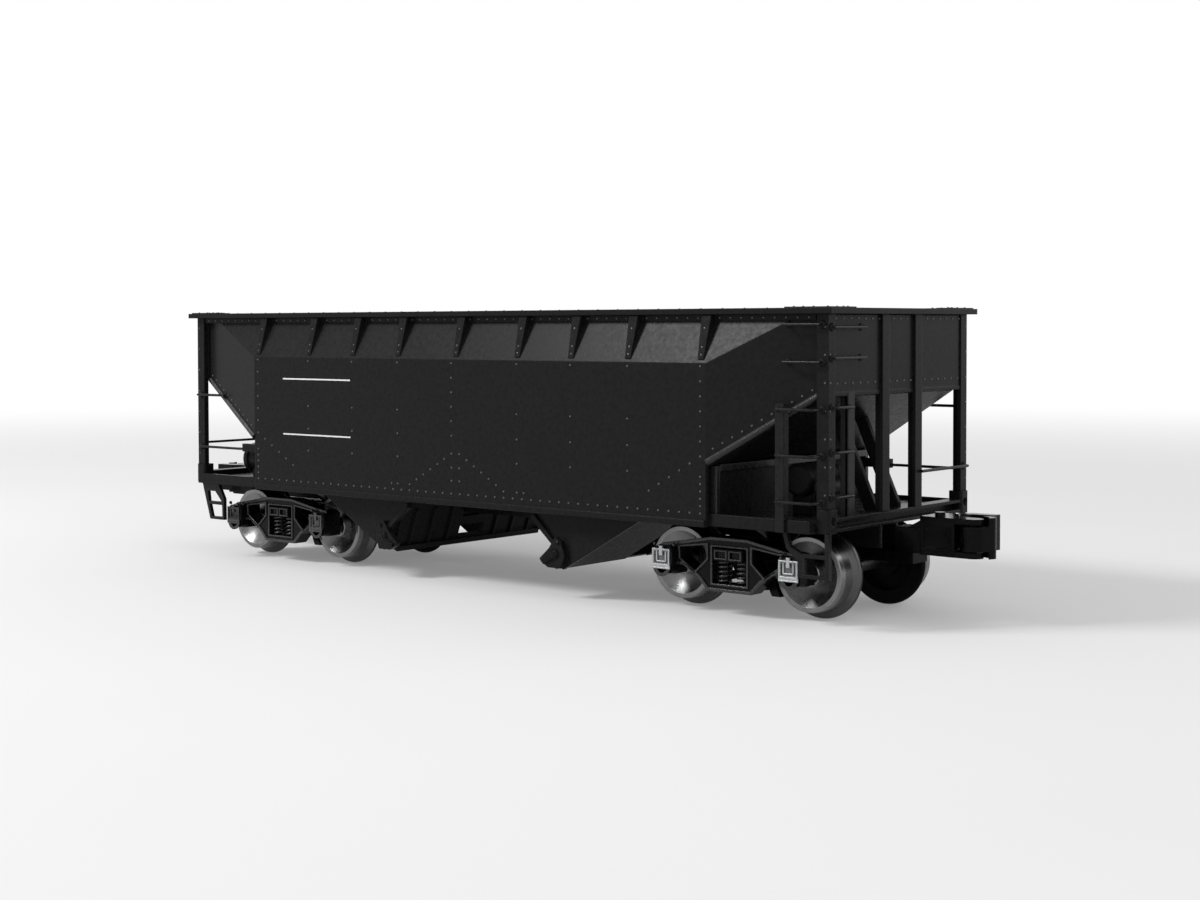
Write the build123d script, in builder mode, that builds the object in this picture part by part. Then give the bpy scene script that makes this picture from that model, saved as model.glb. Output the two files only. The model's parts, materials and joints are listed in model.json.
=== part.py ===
"""Model two-bay open hopper car with offset sides, about one forty-eighth of full size.

Millimetres. +X runs along the car, +Y across it, +Z up, and z = 0 is the foot of the wheel flanges.
End a is at +X and end b, with the hand brake, at -X. The left side is at +Y.
"""

import os

from build123d import *

os.makedirs("parts", exist_ok=True)

# Wheels and trucks
TREAD_R = 8.73
FLANGE_DEPTH = 1.7
AXLE_Z = TREAD_R + FLANGE_DEPTH
AXLE_R = 1.5
FIT = 0.05
WHEEL_BACK = 13.2
WHEEL_FACE = 19.6
TRUCK_X = 77.0
WHEELBASE = 35.0
HALF_BASE = WHEELBASE / 2
FRAME_IN = WHEEL_FACE + 1.4
FRAME = 4.1
FRAME_OUT = FRAME_IN + FRAME
BOX = 1.9
BOX_OUT = FRAME_OUT + BOX
LID = 0.8
LID_OUT = BOX_OUT + LID
BOLSTER_WIDE = 7.9
BOLSTER_END = FRAME_OUT + 0.7
BOLSTER_LOW = AXLE_Z + 2.2
SPRING_LOW = AXLE_Z - 3.2
SHOE_GAP = 0.9
SHOE = 2.0
PIVOT_Z = AXLE_Z + 5.07
PIN_R = 1.5
WHEEL_TOP = 2 * AXLE_Z

# Heights of the body over the wheels
WHEEL_ROOM = 1.14
DECK_Z = WHEEL_TOP + WHEEL_ROOM
DECK = 1.0
PANEL_BOTTOM = DECK_Z - 1.0

# Body shell
SHEET = 1.2
PANEL_Y = 34.2
PANEL_X = 77.0
SHEET_END_X = 103.2
SHEET_END_Y = 28.7
END_SHEET_OUT = SHEET_END_X + SHEET
TOP_Z = 69.6
CHORD = 1.3
CORNER_PLATE = 0.25
CHORD_Z = TOP_Z - CHORD
CHORD_X = 108.3
CHORD_Y = 32.3
BAND = 10.8
BEND_Z = CHORD_Z - BAND
BAND_TOP_Y = 29.5
SLOPE = 0.58
CUT_Z = DECK_Z + 12.4
SHEET_RISE = SHEET * (1 + SLOPE ** 2) ** 0.5
PANEL_LAP = 0.6
RIB_X = (-75.5, -54.8, -37.6, -20.6, 0.0, 20.6, 37.6, 54.8, 75.5)
RIB_BOTTOM = BEND_Z + 0.8

# Underframe
POST_X = 106.5
POST_Y = 30.5
SILL_Y = PANEL_Y - SHEET
SILL_IN = 29.2
SILL_BOTTOM = DECK_Z - 0.8
SILL_TOP = DECK_Z + 2.0
END_SILL_IN = 103.4
END_SILL_LOW = DECK_Z - 0.6
END_SILL_TOP = DECK_Z + 2.4
CASTING_TOP = DECK_Z + 4.4
CENTRE_SILL_Y = 4.0
HOOD_X = 56.0
HOOD_Y = CENTRE_SILL_Y + 0.4
HOOD = 3.4
RIDGE_Z = DECK_Z + 12.0
RIDGE_X = 23.0
BAY_Y = 28.2
BULKHEAD = 0.6

# Doors
HINGE_X = 24.4
HINGE_Z = DECK_Z - 1.6
HINGE_R = 0.5
DOOR_TIP_X = 29.0
DOOR_TIP_Z = HINGE_Z - 13.0
DOOR = 1.0
DOOR_GAP = 0.6
RUN = DOOR_TIP_X - HINGE_X
DROP = HINGE_Z - DOOR_TIP_Z
REACH = (RUN ** 2 + DROP ** 2) ** 0.5

# Coupler, measured from the truck's centre
ARM_Z = PIVOT_Z - 2.9
ARM = 2.4
NECK_X = 29.6
HEAD_X = 36.8
KNUCKLE_X = 49.0
KNUCKLE_Y = -2.6
KNUCKLE_R = 3.0
HEAD_FRONT = KNUCKLE_X - KNUCKLE_R - 0.5
HEAD_LOW = ARM_Z + ARM
HEAD_HIGH = HEAD_LOW + 8.6
LUG = 1.3
LUG_R = 2.15

WIRE = 0.7
WIRE_SEAT = 0.06
ENDS = (("a", 1), ("b", -1))


def keep(builder, label):
    """Names a finished piece and writes it."""
    builder.part.label = label
    export_step(builder.part, "parts/" + label + ".step")


def keep_ends(builder, label):
    """Keeps a piece of end a, and the same piece turned half round for end b."""
    keep(builder, label + "_a")
    with BuildPart() as turned:
        add(builder.part, rotation=(0, 0, 180))
    keep(turned, label + "_b")


def keep_pair(builder, label):
    """Keeps the pieces of both ends together."""
    with BuildPart() as pair:
        add(builder.part)
        add(builder.part, rotation=(0, 0, 180))
    keep(pair, label)


def keep_trucks(builder, label):
    """Keeps a truck's piece, drawn about the truck's centre, under both ends."""
    for end, sign in ENDS:
        with BuildPart() as placed:
            with Locations((sign * TRUCK_X, 0, 0)):
                add(builder.part, rotation=(0, 0, 90 - 90 * sign))
        keep(placed, label + "_" + end)


def under_slope(x):
    """Height of the slope sheet's underside."""
    return CUT_Z + (x - PANEL_X) * SLOPE


def panel_face(x):
    """How far out an end panel stands."""
    return SHEET_END_Y + (SHEET_END_X - x) * (PANEL_Y - SHEET_END_Y) / (SHEET_END_X - PANEL_X)


def slope_foot(lift):
    """Where a line parallel to the slope sheet, lifted from its underside, stops short of the closed door."""
    stand = REACH * (DOOR / 2 + DOOR_GAP) + HINGE_X * DROP
    return (stand + (HINGE_Z + SLOPE * PANEL_X - CUT_Z - lift) * RUN) / (DROP + SLOPE * RUN)


# Side sheets: flat panel, leaning top band with nine stake tops, and end panels drawn in to the posts
with BuildPart() as band:
    with BuildSketch(Plane.YZ.offset(-SHEET_END_X)):
        Polygon(
            (PANEL_Y, BEND_Z), (BAND_TOP_Y, CHORD_Z), (BAND_TOP_Y - SHEET, CHORD_Z),
            (PANEL_Y - SHEET, BEND_Z), align=None)
    extrude(amount=2 * SHEET_END_X)
    with BuildSketch():
        Polygon(
            (SHEET_END_X, 0), (SHEET_END_X, SHEET_END_Y), (PANEL_X, PANEL_Y),
            (-PANEL_X, PANEL_Y), (-SHEET_END_X, SHEET_END_Y), (-SHEET_END_X, 0), align=None)
    extrude(amount=TOP_Z, mode=Mode.INTERSECT)

with BuildPart() as stakes:
    with BuildSketch(Plane.XZ):
        for rib_x in RIB_X:
            with Locations((rib_x, RIB_BOTTOM)):
                rise = CHORD_Z - RIB_BOTTOM
                Polygon((-0.8, 0), (0.8, 0), (1.3, rise), (-1.3, rise), align=None)
    extrude(amount=-PANEL_Y - 1)
    with BuildSketch(Plane.YZ.offset(-PANEL_X)):
        Polygon(
            (PANEL_Y - 0.1, RIB_BOTTOM), (CHORD_Y - 0.5, CHORD_Z), (BAND_TOP_Y - 0.6, CHORD_Z),
            (PANEL_Y - 0.9, RIB_BOTTOM), align=None)
    extrude(amount=2 * PANEL_X, mode=Mode.INTERSECT)

with BuildPart() as side_left:
    with BuildSketch(Plane.XY.offset(PANEL_BOTTOM)):
        Polygon(
            (SHEET_END_X, SHEET_END_Y - SHEET), (SHEET_END_X, SHEET_END_Y), (PANEL_X, PANEL_Y),
            (-PANEL_X, PANEL_Y), (-SHEET_END_X, SHEET_END_Y), (-SHEET_END_X, SHEET_END_Y - SHEET),
            (-PANEL_X, PANEL_Y - SHEET), (PANEL_X, PANEL_Y - SHEET), align=None)
    extrude(amount=CHORD_Z - PANEL_BOTTOM)
    with BuildSketch(Plane.YZ.offset(-SHEET_END_X)):
        Polygon(
            (PANEL_Y, BEND_Z), (BAND_TOP_Y, CHORD_Z), (PANEL_Y + 2, CHORD_Z), (PANEL_Y + 2, BEND_Z),
            align=None)
    extrude(amount=2 * SHEET_END_X, mode=Mode.SUBTRACT)
    add(band.part)
    with BuildSketch(Plane.XZ):
        cut_low = CUT_Z + PANEL_LAP
        cut_high = under_slope(SHEET_END_X) + PANEL_LAP
        Polygon(
            (PANEL_X, PANEL_BOTTOM), (PANEL_X, cut_low), (SHEET_END_X, cut_high), (SHEET_END_X, CHORD_Z),
            (-SHEET_END_X, CHORD_Z), (-SHEET_END_X, cut_high), (-PANEL_X, cut_low), (-PANEL_X, PANEL_BOTTOM),
            align=None)
    extrude(amount=PANEL_Y + 2, both=True, mode=Mode.INTERSECT)
    add(stakes.part)
    with BuildSketch(Plane.XY.offset(CHORD_Z - 1.4)):
        with Locations((0, BAND_TOP_Y - 0.2)):
            Rectangle(2 * SHEET_END_X, 1.8)
    extrude(amount=1.4)
keep(side_left, "side_left")

with BuildPart() as side_right:
    mirror(side_left.part, about=Plane.XZ)
keep(side_right, "side_right")

# End sheet, high up between the corner posts, with its foot on the slope sheet
with BuildPart() as end_sheet:
    with BuildSketch(Plane.XZ):
        Polygon(
            (SHEET_END_X, under_slope(SHEET_END_X) + SHEET_RISE), (SHEET_END_X, CHORD_Z),
            (END_SHEET_OUT, CHORD_Z), (END_SHEET_OUT, under_slope(END_SHEET_OUT) + SHEET_RISE), align=None)
    extrude(amount=POST_Y - SHEET, both=True)
keep_ends(end_sheet, "end_sheet")

# Centre sill: an upturned channel with a bearing block over each truck, and its hood in the load space
with BuildPart() as centre_sill:
    with BuildSketch(Plane.YZ.offset(-END_SILL_IN)):
        with Locations((0, PIVOT_Z)):
            Rectangle(2 * CENTRE_SILL_Y, DECK_Z - PIVOT_Z, align=(Align.CENTER, Align.MIN))
            Rectangle(2 * CENTRE_SILL_Y - 2, DECK_Z - PIVOT_Z - 1, align=(Align.CENTER, Align.MIN),
                      mode=Mode.SUBTRACT)
    extrude(amount=2 * END_SILL_IN)
    with BuildSketch(Plane.XY.offset(PIVOT_Z)):
        with Locations((TRUCK_X, 0), (-TRUCK_X, 0)):
            Rectangle(9, 2 * CENTRE_SILL_Y)
    extrude(amount=DECK_Z - PIVOT_Z)
    with BuildSketch(Plane.YZ.offset(-HOOD_X)):
        Polygon((-HOOD_Y, DECK_Z), (HOOD_Y, DECK_Z), (1.0, DECK_Z + HOOD), (-1.0, DECK_Z + HOOD), align=None)
    extrude(amount=2 * HOOD_X)
keep(centre_sill, "centre_sill")

# Ridge across the middle, and the slope sheets that run from the end sheets to the doors
with BuildPart() as centre_ridge:
    with BuildSketch(Plane.XZ):
        foot = RIDGE_Z - RIDGE_X / 2
        Polygon(
            (0, RIDGE_Z), (RIDGE_X, foot), (RIDGE_X, foot - SHEET), (0, RIDGE_Z - SHEET),
            (-RIDGE_X, foot - SHEET), (-RIDGE_X, foot), align=None)
    extrude(amount=PANEL_Y - SHEET, both=True)
    with BuildSketch():
        Rectangle(2 * RIDGE_X, 2 * BAY_Y)
        Rectangle(2 * RIDGE_X - 13, 2 * (PANEL_Y - SHEET))
    extrude(amount=RIDGE_Z, mode=Mode.INTERSECT)
    with BuildSketch(Plane.YZ.offset(-HOOD_X)):
        Polygon(
            (-HOOD_Y, 0), (HOOD_Y, 0), (HOOD_Y, DECK_Z), (1.0, DECK_Z + HOOD), (-1.0, DECK_Z + HOOD),
            (-HOOD_Y, DECK_Z), align=None)
    extrude(amount=2 * HOOD_X, mode=Mode.SUBTRACT)
keep(centre_ridge, "centre_ridge")

with BuildPart() as slope_sheet:
    low = slope_foot(0)
    high = slope_foot(SHEET_RISE)
    with BuildSketch(Plane.XZ):
        Polygon(
            (END_SHEET_OUT, under_slope(END_SHEET_OUT)),
            (END_SHEET_OUT, under_slope(END_SHEET_OUT) + SHEET_RISE),
            (high, under_slope(high) + SHEET_RISE), (low, under_slope(low)), align=None)
    extrude(amount=PANEL_Y, both=True)
    with BuildSketch():
        shoulder = HOOD_X + 3
        hood_end = HOOD_X + 0.6
        for side in (1, -1):
            Polygon(
                (END_SHEET_OUT, 0), (END_SHEET_OUT, side * (SHEET_END_Y - SHEET)),
                (SHEET_END_X, side * (SHEET_END_Y - SHEET)), (PANEL_X, side * (PANEL_Y - SHEET)),
                (shoulder, side * (PANEL_Y - SHEET)), (shoulder, side * BAY_Y), (HINGE_X, side * BAY_Y),
                (HINGE_X, side * HOOD_Y), (hood_end, side * HOOD_Y), (hood_end, 0), align=None)
    extrude(amount=TOP_Z, mode=Mode.INTERSECT)
keep_ends(slope_sheet, "slope_sheet")

# Top chord: a flanged ring with riveted corner plates
with BuildPart() as top_chord:
    with BuildSketch(Plane.XY.offset(CHORD_Z)):
        Rectangle(2 * CHORD_X, 2 * CHORD_Y)
        Rectangle(2 * SHEET_END_X - 1, 2 * (BAND_TOP_Y - 1.5), mode=Mode.SUBTRACT)
    extrude(amount=CHORD)
    with BuildSketch(Plane.XY.offset(TOP_Z)):
        for sx in (1, -1):
            for sy in (1, -1):
                with Locations((sx * (CHORD_X - 0.7), sy * (CHORD_Y - 0.7))):
                    Polygon(
                        (0, 0), (-sx * 11.6, 0), (-sx * 11.6, -sy * 2.6), (-sx * 4, -sy * 2.6),
                        (-sx * 4, -sy * 10.6), (0, -sy * 10.6), align=None)
    extrude(amount=CORNER_PLATE)
keep(top_chord, "top_chord")

# Side sills: angles under the side sheets
for name, side in (("left", 1), ("right", -1)):
    with BuildPart() as side_sill:
        with BuildSketch(Plane.YZ.offset(-END_SILL_IN)):
            Polygon(
                (side * SILL_IN, SILL_BOTTOM), (side * SILL_Y, SILL_BOTTOM), (side * SILL_Y, SILL_TOP),
                (side * (SILL_Y - 0.8), SILL_TOP), (side * (SILL_Y - 0.8), DECK_Z), (side * SILL_IN, DECK_Z),
                align=None)
        extrude(amount=2 * END_SILL_IN)
    keep(side_sill, "side_sill_" + name)

# End sill with a corner casting at each tip, dimpled for a pushing pole
END_SILL_OUT = POST_X + 0.2
CASTING_OUT = END_SILL_OUT + 0.3
with BuildPart() as end_sill:
    with BuildSketch(Plane.XZ.offset(-SILL_IN + 1)):
        Polygon(
            (END_SILL_IN, END_SILL_LOW), (END_SILL_OUT, END_SILL_LOW), (END_SILL_OUT, END_SILL_LOW + 0.7),
            (END_SILL_IN + 0.9, END_SILL_LOW + 0.7), (END_SILL_IN + 0.9, END_SILL_TOP - 0.7),
            (END_SILL_OUT, END_SILL_TOP - 0.7), (END_SILL_OUT, END_SILL_TOP), (END_SILL_IN, END_SILL_TOP),
            align=None)
    extrude(amount=2 * (SILL_IN - 1))
    for side in (1, -1):
        with BuildSketch(Plane.XY.offset(SILL_BOTTOM)):
            with Locations(((END_SILL_IN + CASTING_OUT) / 2, side * (POST_Y - 1.5))):
                RectangleRounded(CASTING_OUT - END_SILL_IN, 3.6, 0.8)
        extrude(amount=CASTING_TOP - SILL_BOTTOM)
        with Locations(Location((CASTING_OUT, side * (POST_Y - 1.5), DECK_Z + 1.8), (0, 90, 0))):
            Cone(0.6, 1.4, 1.8, mode=Mode.SUBTRACT)
keep_ends(end_sill, "end_sill")

# Corner posts: angles that stand on the castings
with BuildPart() as corner_posts:
    with BuildSketch(Plane.XY.offset(CASTING_TOP)):
        for side in (1, -1):
            Polygon(
                (POST_X, side * POST_Y), (POST_X, side * (POST_Y - 2.8)),
                (POST_X - SHEET, side * (POST_Y - 2.8)),
                (POST_X - SHEET, side * (POST_Y - SHEET)), (END_SILL_IN + 0.2, side * (POST_Y - SHEET)),
                (END_SILL_IN + 0.2, side * POST_Y), align=None)
    extrude(amount=CHORD_Z - CASTING_TOP)
keep_pair(corner_posts, "corner_posts")

# Two tee-shaped end posts from end sill to top chord
END_POST_Y = 7.2
END_POST_OUT = POST_X + 0.35
with BuildPart() as end_posts:
    with BuildSketch(Plane.XY.offset(END_SILL_TOP)):
        for side in (1, -1):
            with Locations((END_POST_OUT, side * END_POST_Y)):
                Rectangle(0.9, 3.0, align=(Align.MAX, Align.CENTER))
                Rectangle(END_POST_OUT - END_SHEET_OUT, 1.1, align=(Align.MAX, Align.CENTER))
    extrude(amount=CHORD_Z - END_SILL_TOP)
keep_pair(end_posts, "end_posts")

# Body bolster: wings under the deck, a bulkhead up to the slope sheet and a lug that holds a hand grab
GRAB_LUG_X = 86.3
GRAB_LUG_Y = POST_Y + 0.5
GRAB_LUG_Z = SILL_TOP + 6.8
with BuildPart() as body_bolster:
    with BuildSketch(Plane.YZ.offset(TRUCK_X - 3.5)):
        for side in (1, -1):
            Polygon(
                (side * CENTRE_SILL_Y, PIVOT_Z + 0.4), (side * 5.5, PIVOT_Z + 0.4), (side * 14, DECK_Z - 1.6),
                (side * SILL_IN, DECK_Z - 1.2), (side * SILL_IN, DECK_Z), (side * CENTRE_SILL_Y, DECK_Z),
                align=None)
    extrude(amount=7)
    with BuildSketch(Plane.XZ):
        Polygon(
            (TRUCK_X - BULKHEAD, DECK_Z), (TRUCK_X + BULKHEAD, DECK_Z),
            (TRUCK_X + BULKHEAD, under_slope(TRUCK_X + BULKHEAD)),
            (TRUCK_X - BULKHEAD, under_slope(TRUCK_X - BULKHEAD)), align=None)
    extrude(amount=SILL_Y - 0.8, both=True)
    with BuildSketch(Plane.XY.offset(GRAB_LUG_Z)):
        with Locations((TRUCK_X, GRAB_LUG_Y)):
            Rectangle(GRAB_LUG_X - TRUCK_X, 1.4, align=(Align.MIN, Align.MAX))
    extrude(amount=2.2)
keep_ends(body_bolster, "body_bolster")

# End platform of cross boards, with two struts up to the slope sheet
PLATFORM_IN = TRUCK_X + BULKHEAD
with BuildPart() as platform:
    with BuildSketch(Plane.XY.offset(DECK_Z)):
        with Locations(((PLATFORM_IN + END_SILL_IN) / 2, 0)):
            Rectangle(END_SILL_IN - PLATFORM_IN, 2 * (SILL_Y - 0.8))
    extrude(amount=DECK)
    with BuildSketch(Plane.XY.offset(DECK_Z + DECK)):
        with Locations(((PLATFORM_IN + END_SILL_IN) / 2, 0)):
            with GridLocations(4.2, 1, 6, 1):
                Rectangle(0.4, 2 * (SILL_Y - 0.8))
    extrude(amount=-0.35, mode=Mode.SUBTRACT)
keep_ends(platform, "platform")

with BuildPart() as slope_braces:
    strut_foot = END_SILL_IN - 0.2
    strut_top = strut_foot - 8.7
    for side in (1, -1):
        with BuildSketch(Plane.XZ.offset(-side * 5.0)):
            Polygon(
                (strut_top - 2.4, under_slope(strut_top - 2.4)), (strut_top, under_slope(strut_top)),
                (strut_foot, DECK_Z + DECK + 2.2), (strut_foot, DECK_Z + DECK),
                (strut_foot - 2.4, DECK_Z + DECK), align=None)
        extrude(amount=0.6, both=True)
keep_pair(slope_braces, "slope_braces")

# Hopper bay: side plates with an edge flange and a door latch, and the doors' hinge rods
PLATE_END = HOOD_X + 1
with BuildPart() as bay_plates:
    for side in (1, -1):
        plate = Plane.XZ.offset(-side * (BAY_Y + 0.5))
        with BuildSketch(plate):
            Polygon(
                (HINGE_X - 2.9, SILL_TOP), (HINGE_X - 2.9, HINGE_Z - 1.6), (HINGE_X + 4.0, HINGE_Z - 7.6),
                (DOOR_TIP_X, DOOR_TIP_Z + 0.6), (DOOR_TIP_X + 2, DOOR_TIP_Z - 0.2),
                (PLATE_END, under_slope(PLATE_END) - 0.8), (PLATE_END, SILL_TOP), align=None)
        extrude(amount=0.5, both=True)
        with BuildSketch(plate.offset(-side * 0.9)):
            Polygon(
                (HINGE_X - 2.9, HINGE_Z - 0.4), (HINGE_X - 2.9, HINGE_Z - 1.6), (HINGE_X + 4.0, HINGE_Z - 7.6),
                (HINGE_X + 5.0, HINGE_Z - 7.0), (HINGE_X - 2.1, HINGE_Z - 0.4), align=None)
        extrude(amount=0.4, both=True)
        with BuildSketch(plate.offset(-side * 0.5)):
            with Locations((DOOR_TIP_X, DOOR_TIP_Z)):
                Polygon(
                    (0.6, 7.6), (-1.4, 4.8), (-4.3, 2.2), (-3.8, 1.4), (-1.6, 0.2), (2.4, 0.2), (3.6, 3.4),
                    (2.4, 6.8), align=None)
                with Locations((0.6, 3.6)):
                    Circle(0.9, mode=Mode.SUBTRACT)
        extrude(amount=-side * 1.5)
keep_ends(bay_plates, "bay_plates")

with BuildPart() as hinge_rods:
    for side in (1, -1):
        with BuildSketch(Plane.XZ.offset(-side * CENTRE_SILL_Y)):
            with Locations((HINGE_X, HINGE_Z)):
                Circle(HINGE_R)
        extrude(amount=-side * (BAY_Y - CENTRE_SILL_Y))
keep_pair(hinge_rods, "hinge_rods")

# Hopper door: two ribbed leaves on hinge barrels, joined under the centre sill by a bar and a band
LEAF_IN = CENTRE_SILL_Y + 0.6
LEAF_OUT = BAY_Y - 0.3
LEAF = LEAF_OUT - LEAF_IN
with BuildPart() as door:
    leaf = Plane(origin=(HINGE_X, 0, HINGE_Z), x_dir=(0, 1, 0), z_dir=(DROP / REACH, 0, RUN / REACH))
    for side in (1, -1):
        with BuildSketch(leaf):
            with Locations((side * (LEAF_IN + LEAF_OUT) / 2, -REACH / 2)):
                Rectangle(LEAF, REACH)
        extrude(amount=DOOR / 2, both=True)
        with BuildSketch(leaf.offset(-DOOR / 2)):
            with Locations((side * (LEAF_IN + LEAF_OUT) / 2, -REACH / 2 - 0.8)):
                with GridLocations(LEAF * 0.3, 1, 3, 1):
                    Rectangle(0.9, REACH - 3.6)
        extrude(amount=-0.6)
        with BuildSketch(Plane.XZ.offset(-side * LEAF_IN)):
            with Locations((HINGE_X, HINGE_Z)):
                Circle(HINGE_R + 0.45)
        extrude(amount=-side * LEAF)
        with BuildSketch(Plane.XZ.offset(-side * CENTRE_SILL_Y)):
            with Locations((HINGE_X, HINGE_Z)):
                Circle(HINGE_R + FIT)
        extrude(amount=-side * (BAY_Y - CENTRE_SILL_Y), mode=Mode.SUBTRACT)
    with BuildSketch(leaf):
        with Locations((0, -0.55 * REACH)):
            Rectangle(2 * LEAF_IN + 1, 0.19 * REACH)
        with Locations((0, -REACH + 1)):
            Rectangle(2 * LEAF_IN + 1, 2)
    extrude(amount=DOOR / 2, both=True)
    with BuildSketch(leaf.offset(-DOOR / 2)):
        with Locations((0, -REACH + 0.7)):
            Rectangle(2 * LEAF_OUT, 1.4)
    extrude(amount=-1.1)
keep_ends(door, "door")

# Ladders at the right-hand corner of each side and the left-hand corner of each end
STILE_X = 96.2
STILE_OUT = SILL_Y + 0.8
STILE = 24.9
STILE_TOP = SILL_TOP + STILE
END_STILE_Y = 21.0
END_STILE = 27.0
END_STILE_TOP = END_SILL_TOP + END_STILE
GRAB_X = POST_X - 1.5
END_GRAB_Y = POST_Y - 1.3
with BuildPart() as ladders:
    with BuildSketch(Plane.XY.offset(SILL_BOTTOM)):
        with Locations((STILE_X, -STILE_OUT)):
            Rectangle(3.4, 0.8, align=(Align.CENTER, Align.MIN))
    extrude(amount=STILE_TOP - SILL_BOTTOM)
    with BuildSketch(Plane.XY.offset(SILL_TOP)):
        with Locations((STILE_X + 1.3, -STILE_OUT)):
            Rectangle(0.8, 2.2, align=(Align.CENTER, Align.MIN))
    extrude(amount=STILE_TOP - SILL_TOP)
    for rung in range(3):
        rung_z = SILL_TOP + STILE * (0.1566 + 0.4 * rung)
        with BuildLine():
            path = Polyline(
                (STILE_X - 0.7, -STILE_OUT + 0.2, rung_z), (STILE_X - 0.7, -STILE_OUT - 1, rung_z),
                (GRAB_X, -STILE_OUT - 1, rung_z), (GRAB_X, -POST_Y, rung_z))
        with BuildSketch(Plane(origin=path @ 0, z_dir=path % 0)):
            Circle(WIRE / 2)
        sweep(path=path.wire(), transition=Transition.RIGHT)
    with BuildSketch(Plane.XY.offset(END_SILL_TOP)):
        with Locations((POST_X - 0.1, -END_STILE_Y)):
            Rectangle(0.8, 3.2, align=(Align.MAX, Align.CENTER))
        with Locations((POST_X - 0.1, -END_STILE_Y - 1.2)):
            Rectangle(POST_X - 0.1 - END_SHEET_OUT, 0.8, align=(Align.MAX, Align.CENTER))
    extrude(amount=END_STILE_TOP - END_SILL_TOP)
    for rung in range(3):
        rung_z = END_SILL_TOP + END_STILE * (0.17 + 0.3556 * rung)
        with BuildLine():
            path = Polyline(
                (POST_X - 0.3, -END_STILE_Y - 1, rung_z), (POST_X + 1.3, -END_STILE_Y - 1, rung_z),
                (POST_X + 1.3, -END_GRAB_Y, rung_z), (POST_X, -END_GRAB_Y, rung_z))
        with BuildSketch(Plane(origin=path @ 0, z_dir=path % 0)):
            Circle(WIRE / 2)
        sweep(path=path.wire(), transition=Transition.RIGHT)
keep_ends(ladders, "ladders")

# Hand grabs: bent wires, each from foot to foot
LEFT_X = 93.6
LOW_Z = GRAB_LUG_Z + 0.7
RIGHT_FACE = -panel_face(STILE_X) - WIRE_SEAT
LEFT_FACE = panel_face(LEFT_X) + WIRE_SEAT
RIGHT_OUT = -POST_Y - 1.5
LEFT_OUT = POST_Y + 1.1
LOW_OUT = GRAB_LUG_Y - 0.1
END_OUT = POST_X + 0.9
END_IN = (END_SHEET_OUT, -17.0)
END_STAND = (END_OUT, -17.0)
GRABS = (
    # first foot, its standing-off point, last standing-off point, last foot, height
    ((STILE_X, RIGHT_FACE), (STILE_X, RIGHT_OUT), (GRAB_X, RIGHT_OUT), (GRAB_X, -POST_Y), CHORD_Z - 2.3),
    ((STILE_X, RIGHT_FACE), (STILE_X, RIGHT_OUT), (GRAB_X, RIGHT_OUT), (GRAB_X, -POST_Y), CHORD_Z - 10.4),
    (END_IN, END_STAND, (END_OUT, -END_GRAB_Y), (POST_X, -END_GRAB_Y), CHORD_Z - 2.9),
    (END_IN, END_STAND, (END_OUT, -END_GRAB_Y), (POST_X, -END_GRAB_Y), CHORD_Z - 9.5),
    ((LEFT_X, LEFT_FACE), (LEFT_X, LEFT_OUT), (GRAB_X, LEFT_OUT), (GRAB_X, POST_Y), SILL_TOP + 22.4),
    ((GRAB_LUG_X, LOW_OUT - 0.4), (GRAB_LUG_X + 2, LOW_OUT), (GRAB_X, LOW_OUT), (GRAB_X, POST_Y), LOW_Z),
    ((END_POST_OUT, 8.0), (END_OUT, 8.0), (END_OUT, END_GRAB_Y), (POST_X, END_GRAB_Y), SILL_TOP + 8.4),
)
with BuildPart() as hand_grabs:
    for foot, out, over, last, grab_z in GRABS:
        with BuildLine():
            path = Polyline((*foot, grab_z), (*out, grab_z), (*over, grab_z), (*last, grab_z))
        with BuildSketch(Plane(origin=path @ 0, z_dir=path % 0)):
            Circle(WIRE / 2)
        sweep(path=path.wire(), transition=Transition.RIGHT)
keep_pair(hand_grabs, "hand_grabs")

# Sill steps: a straight one under each ladder, a slanting one at the other corners
STEP_LOW = SILL_BOTTOM - 9.8
with BuildPart() as sill_steps:
    with BuildSketch(Plane.XZ.offset(POST_Y)):
        with Locations((POST_X, SILL_BOTTOM)):
            Polygon(
                (-11.3, 0), (-10.3, -3.6), (-7.3, -6.2), (-7.3, -9.8), (0.5, -9.8), (0.5, 0), (-0.5, 0),
                (-0.5, -4.6), (-6.3, -4.6), (-9.4, -3.1), (-10.3, 0), align=None)
            with Locations((-3.4, -7.2)):
                Rectangle(5.8, 3.6, mode=Mode.SUBTRACT)
    extrude(amount=0.6, both=True)
    with BuildSketch(Plane.XZ.offset(-POST_Y - 0.7)):
        with Locations((POST_X, SILL_BOTTOM)):
            Polygon((-3.2, 0), (-6.6, -10.2), (-12.8, -10.2), (-12.7, -4.2), (-10.2, 0), align=None)
            Polygon((-5.6, -2.2), (-6.0, -5.1), (-11.8, -5.1), (-8.9, -2.2), align=None, mode=Mode.SUBTRACT)
            Polygon((-6.3, -6.0), (-7.4, -9.4), (-12.0, -9.4), (-11.9, -6.0), align=None, mode=Mode.SUBTRACT)
    extrude(amount=0.5, both=True)
keep_pair(sill_steps, "sill_steps")

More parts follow.
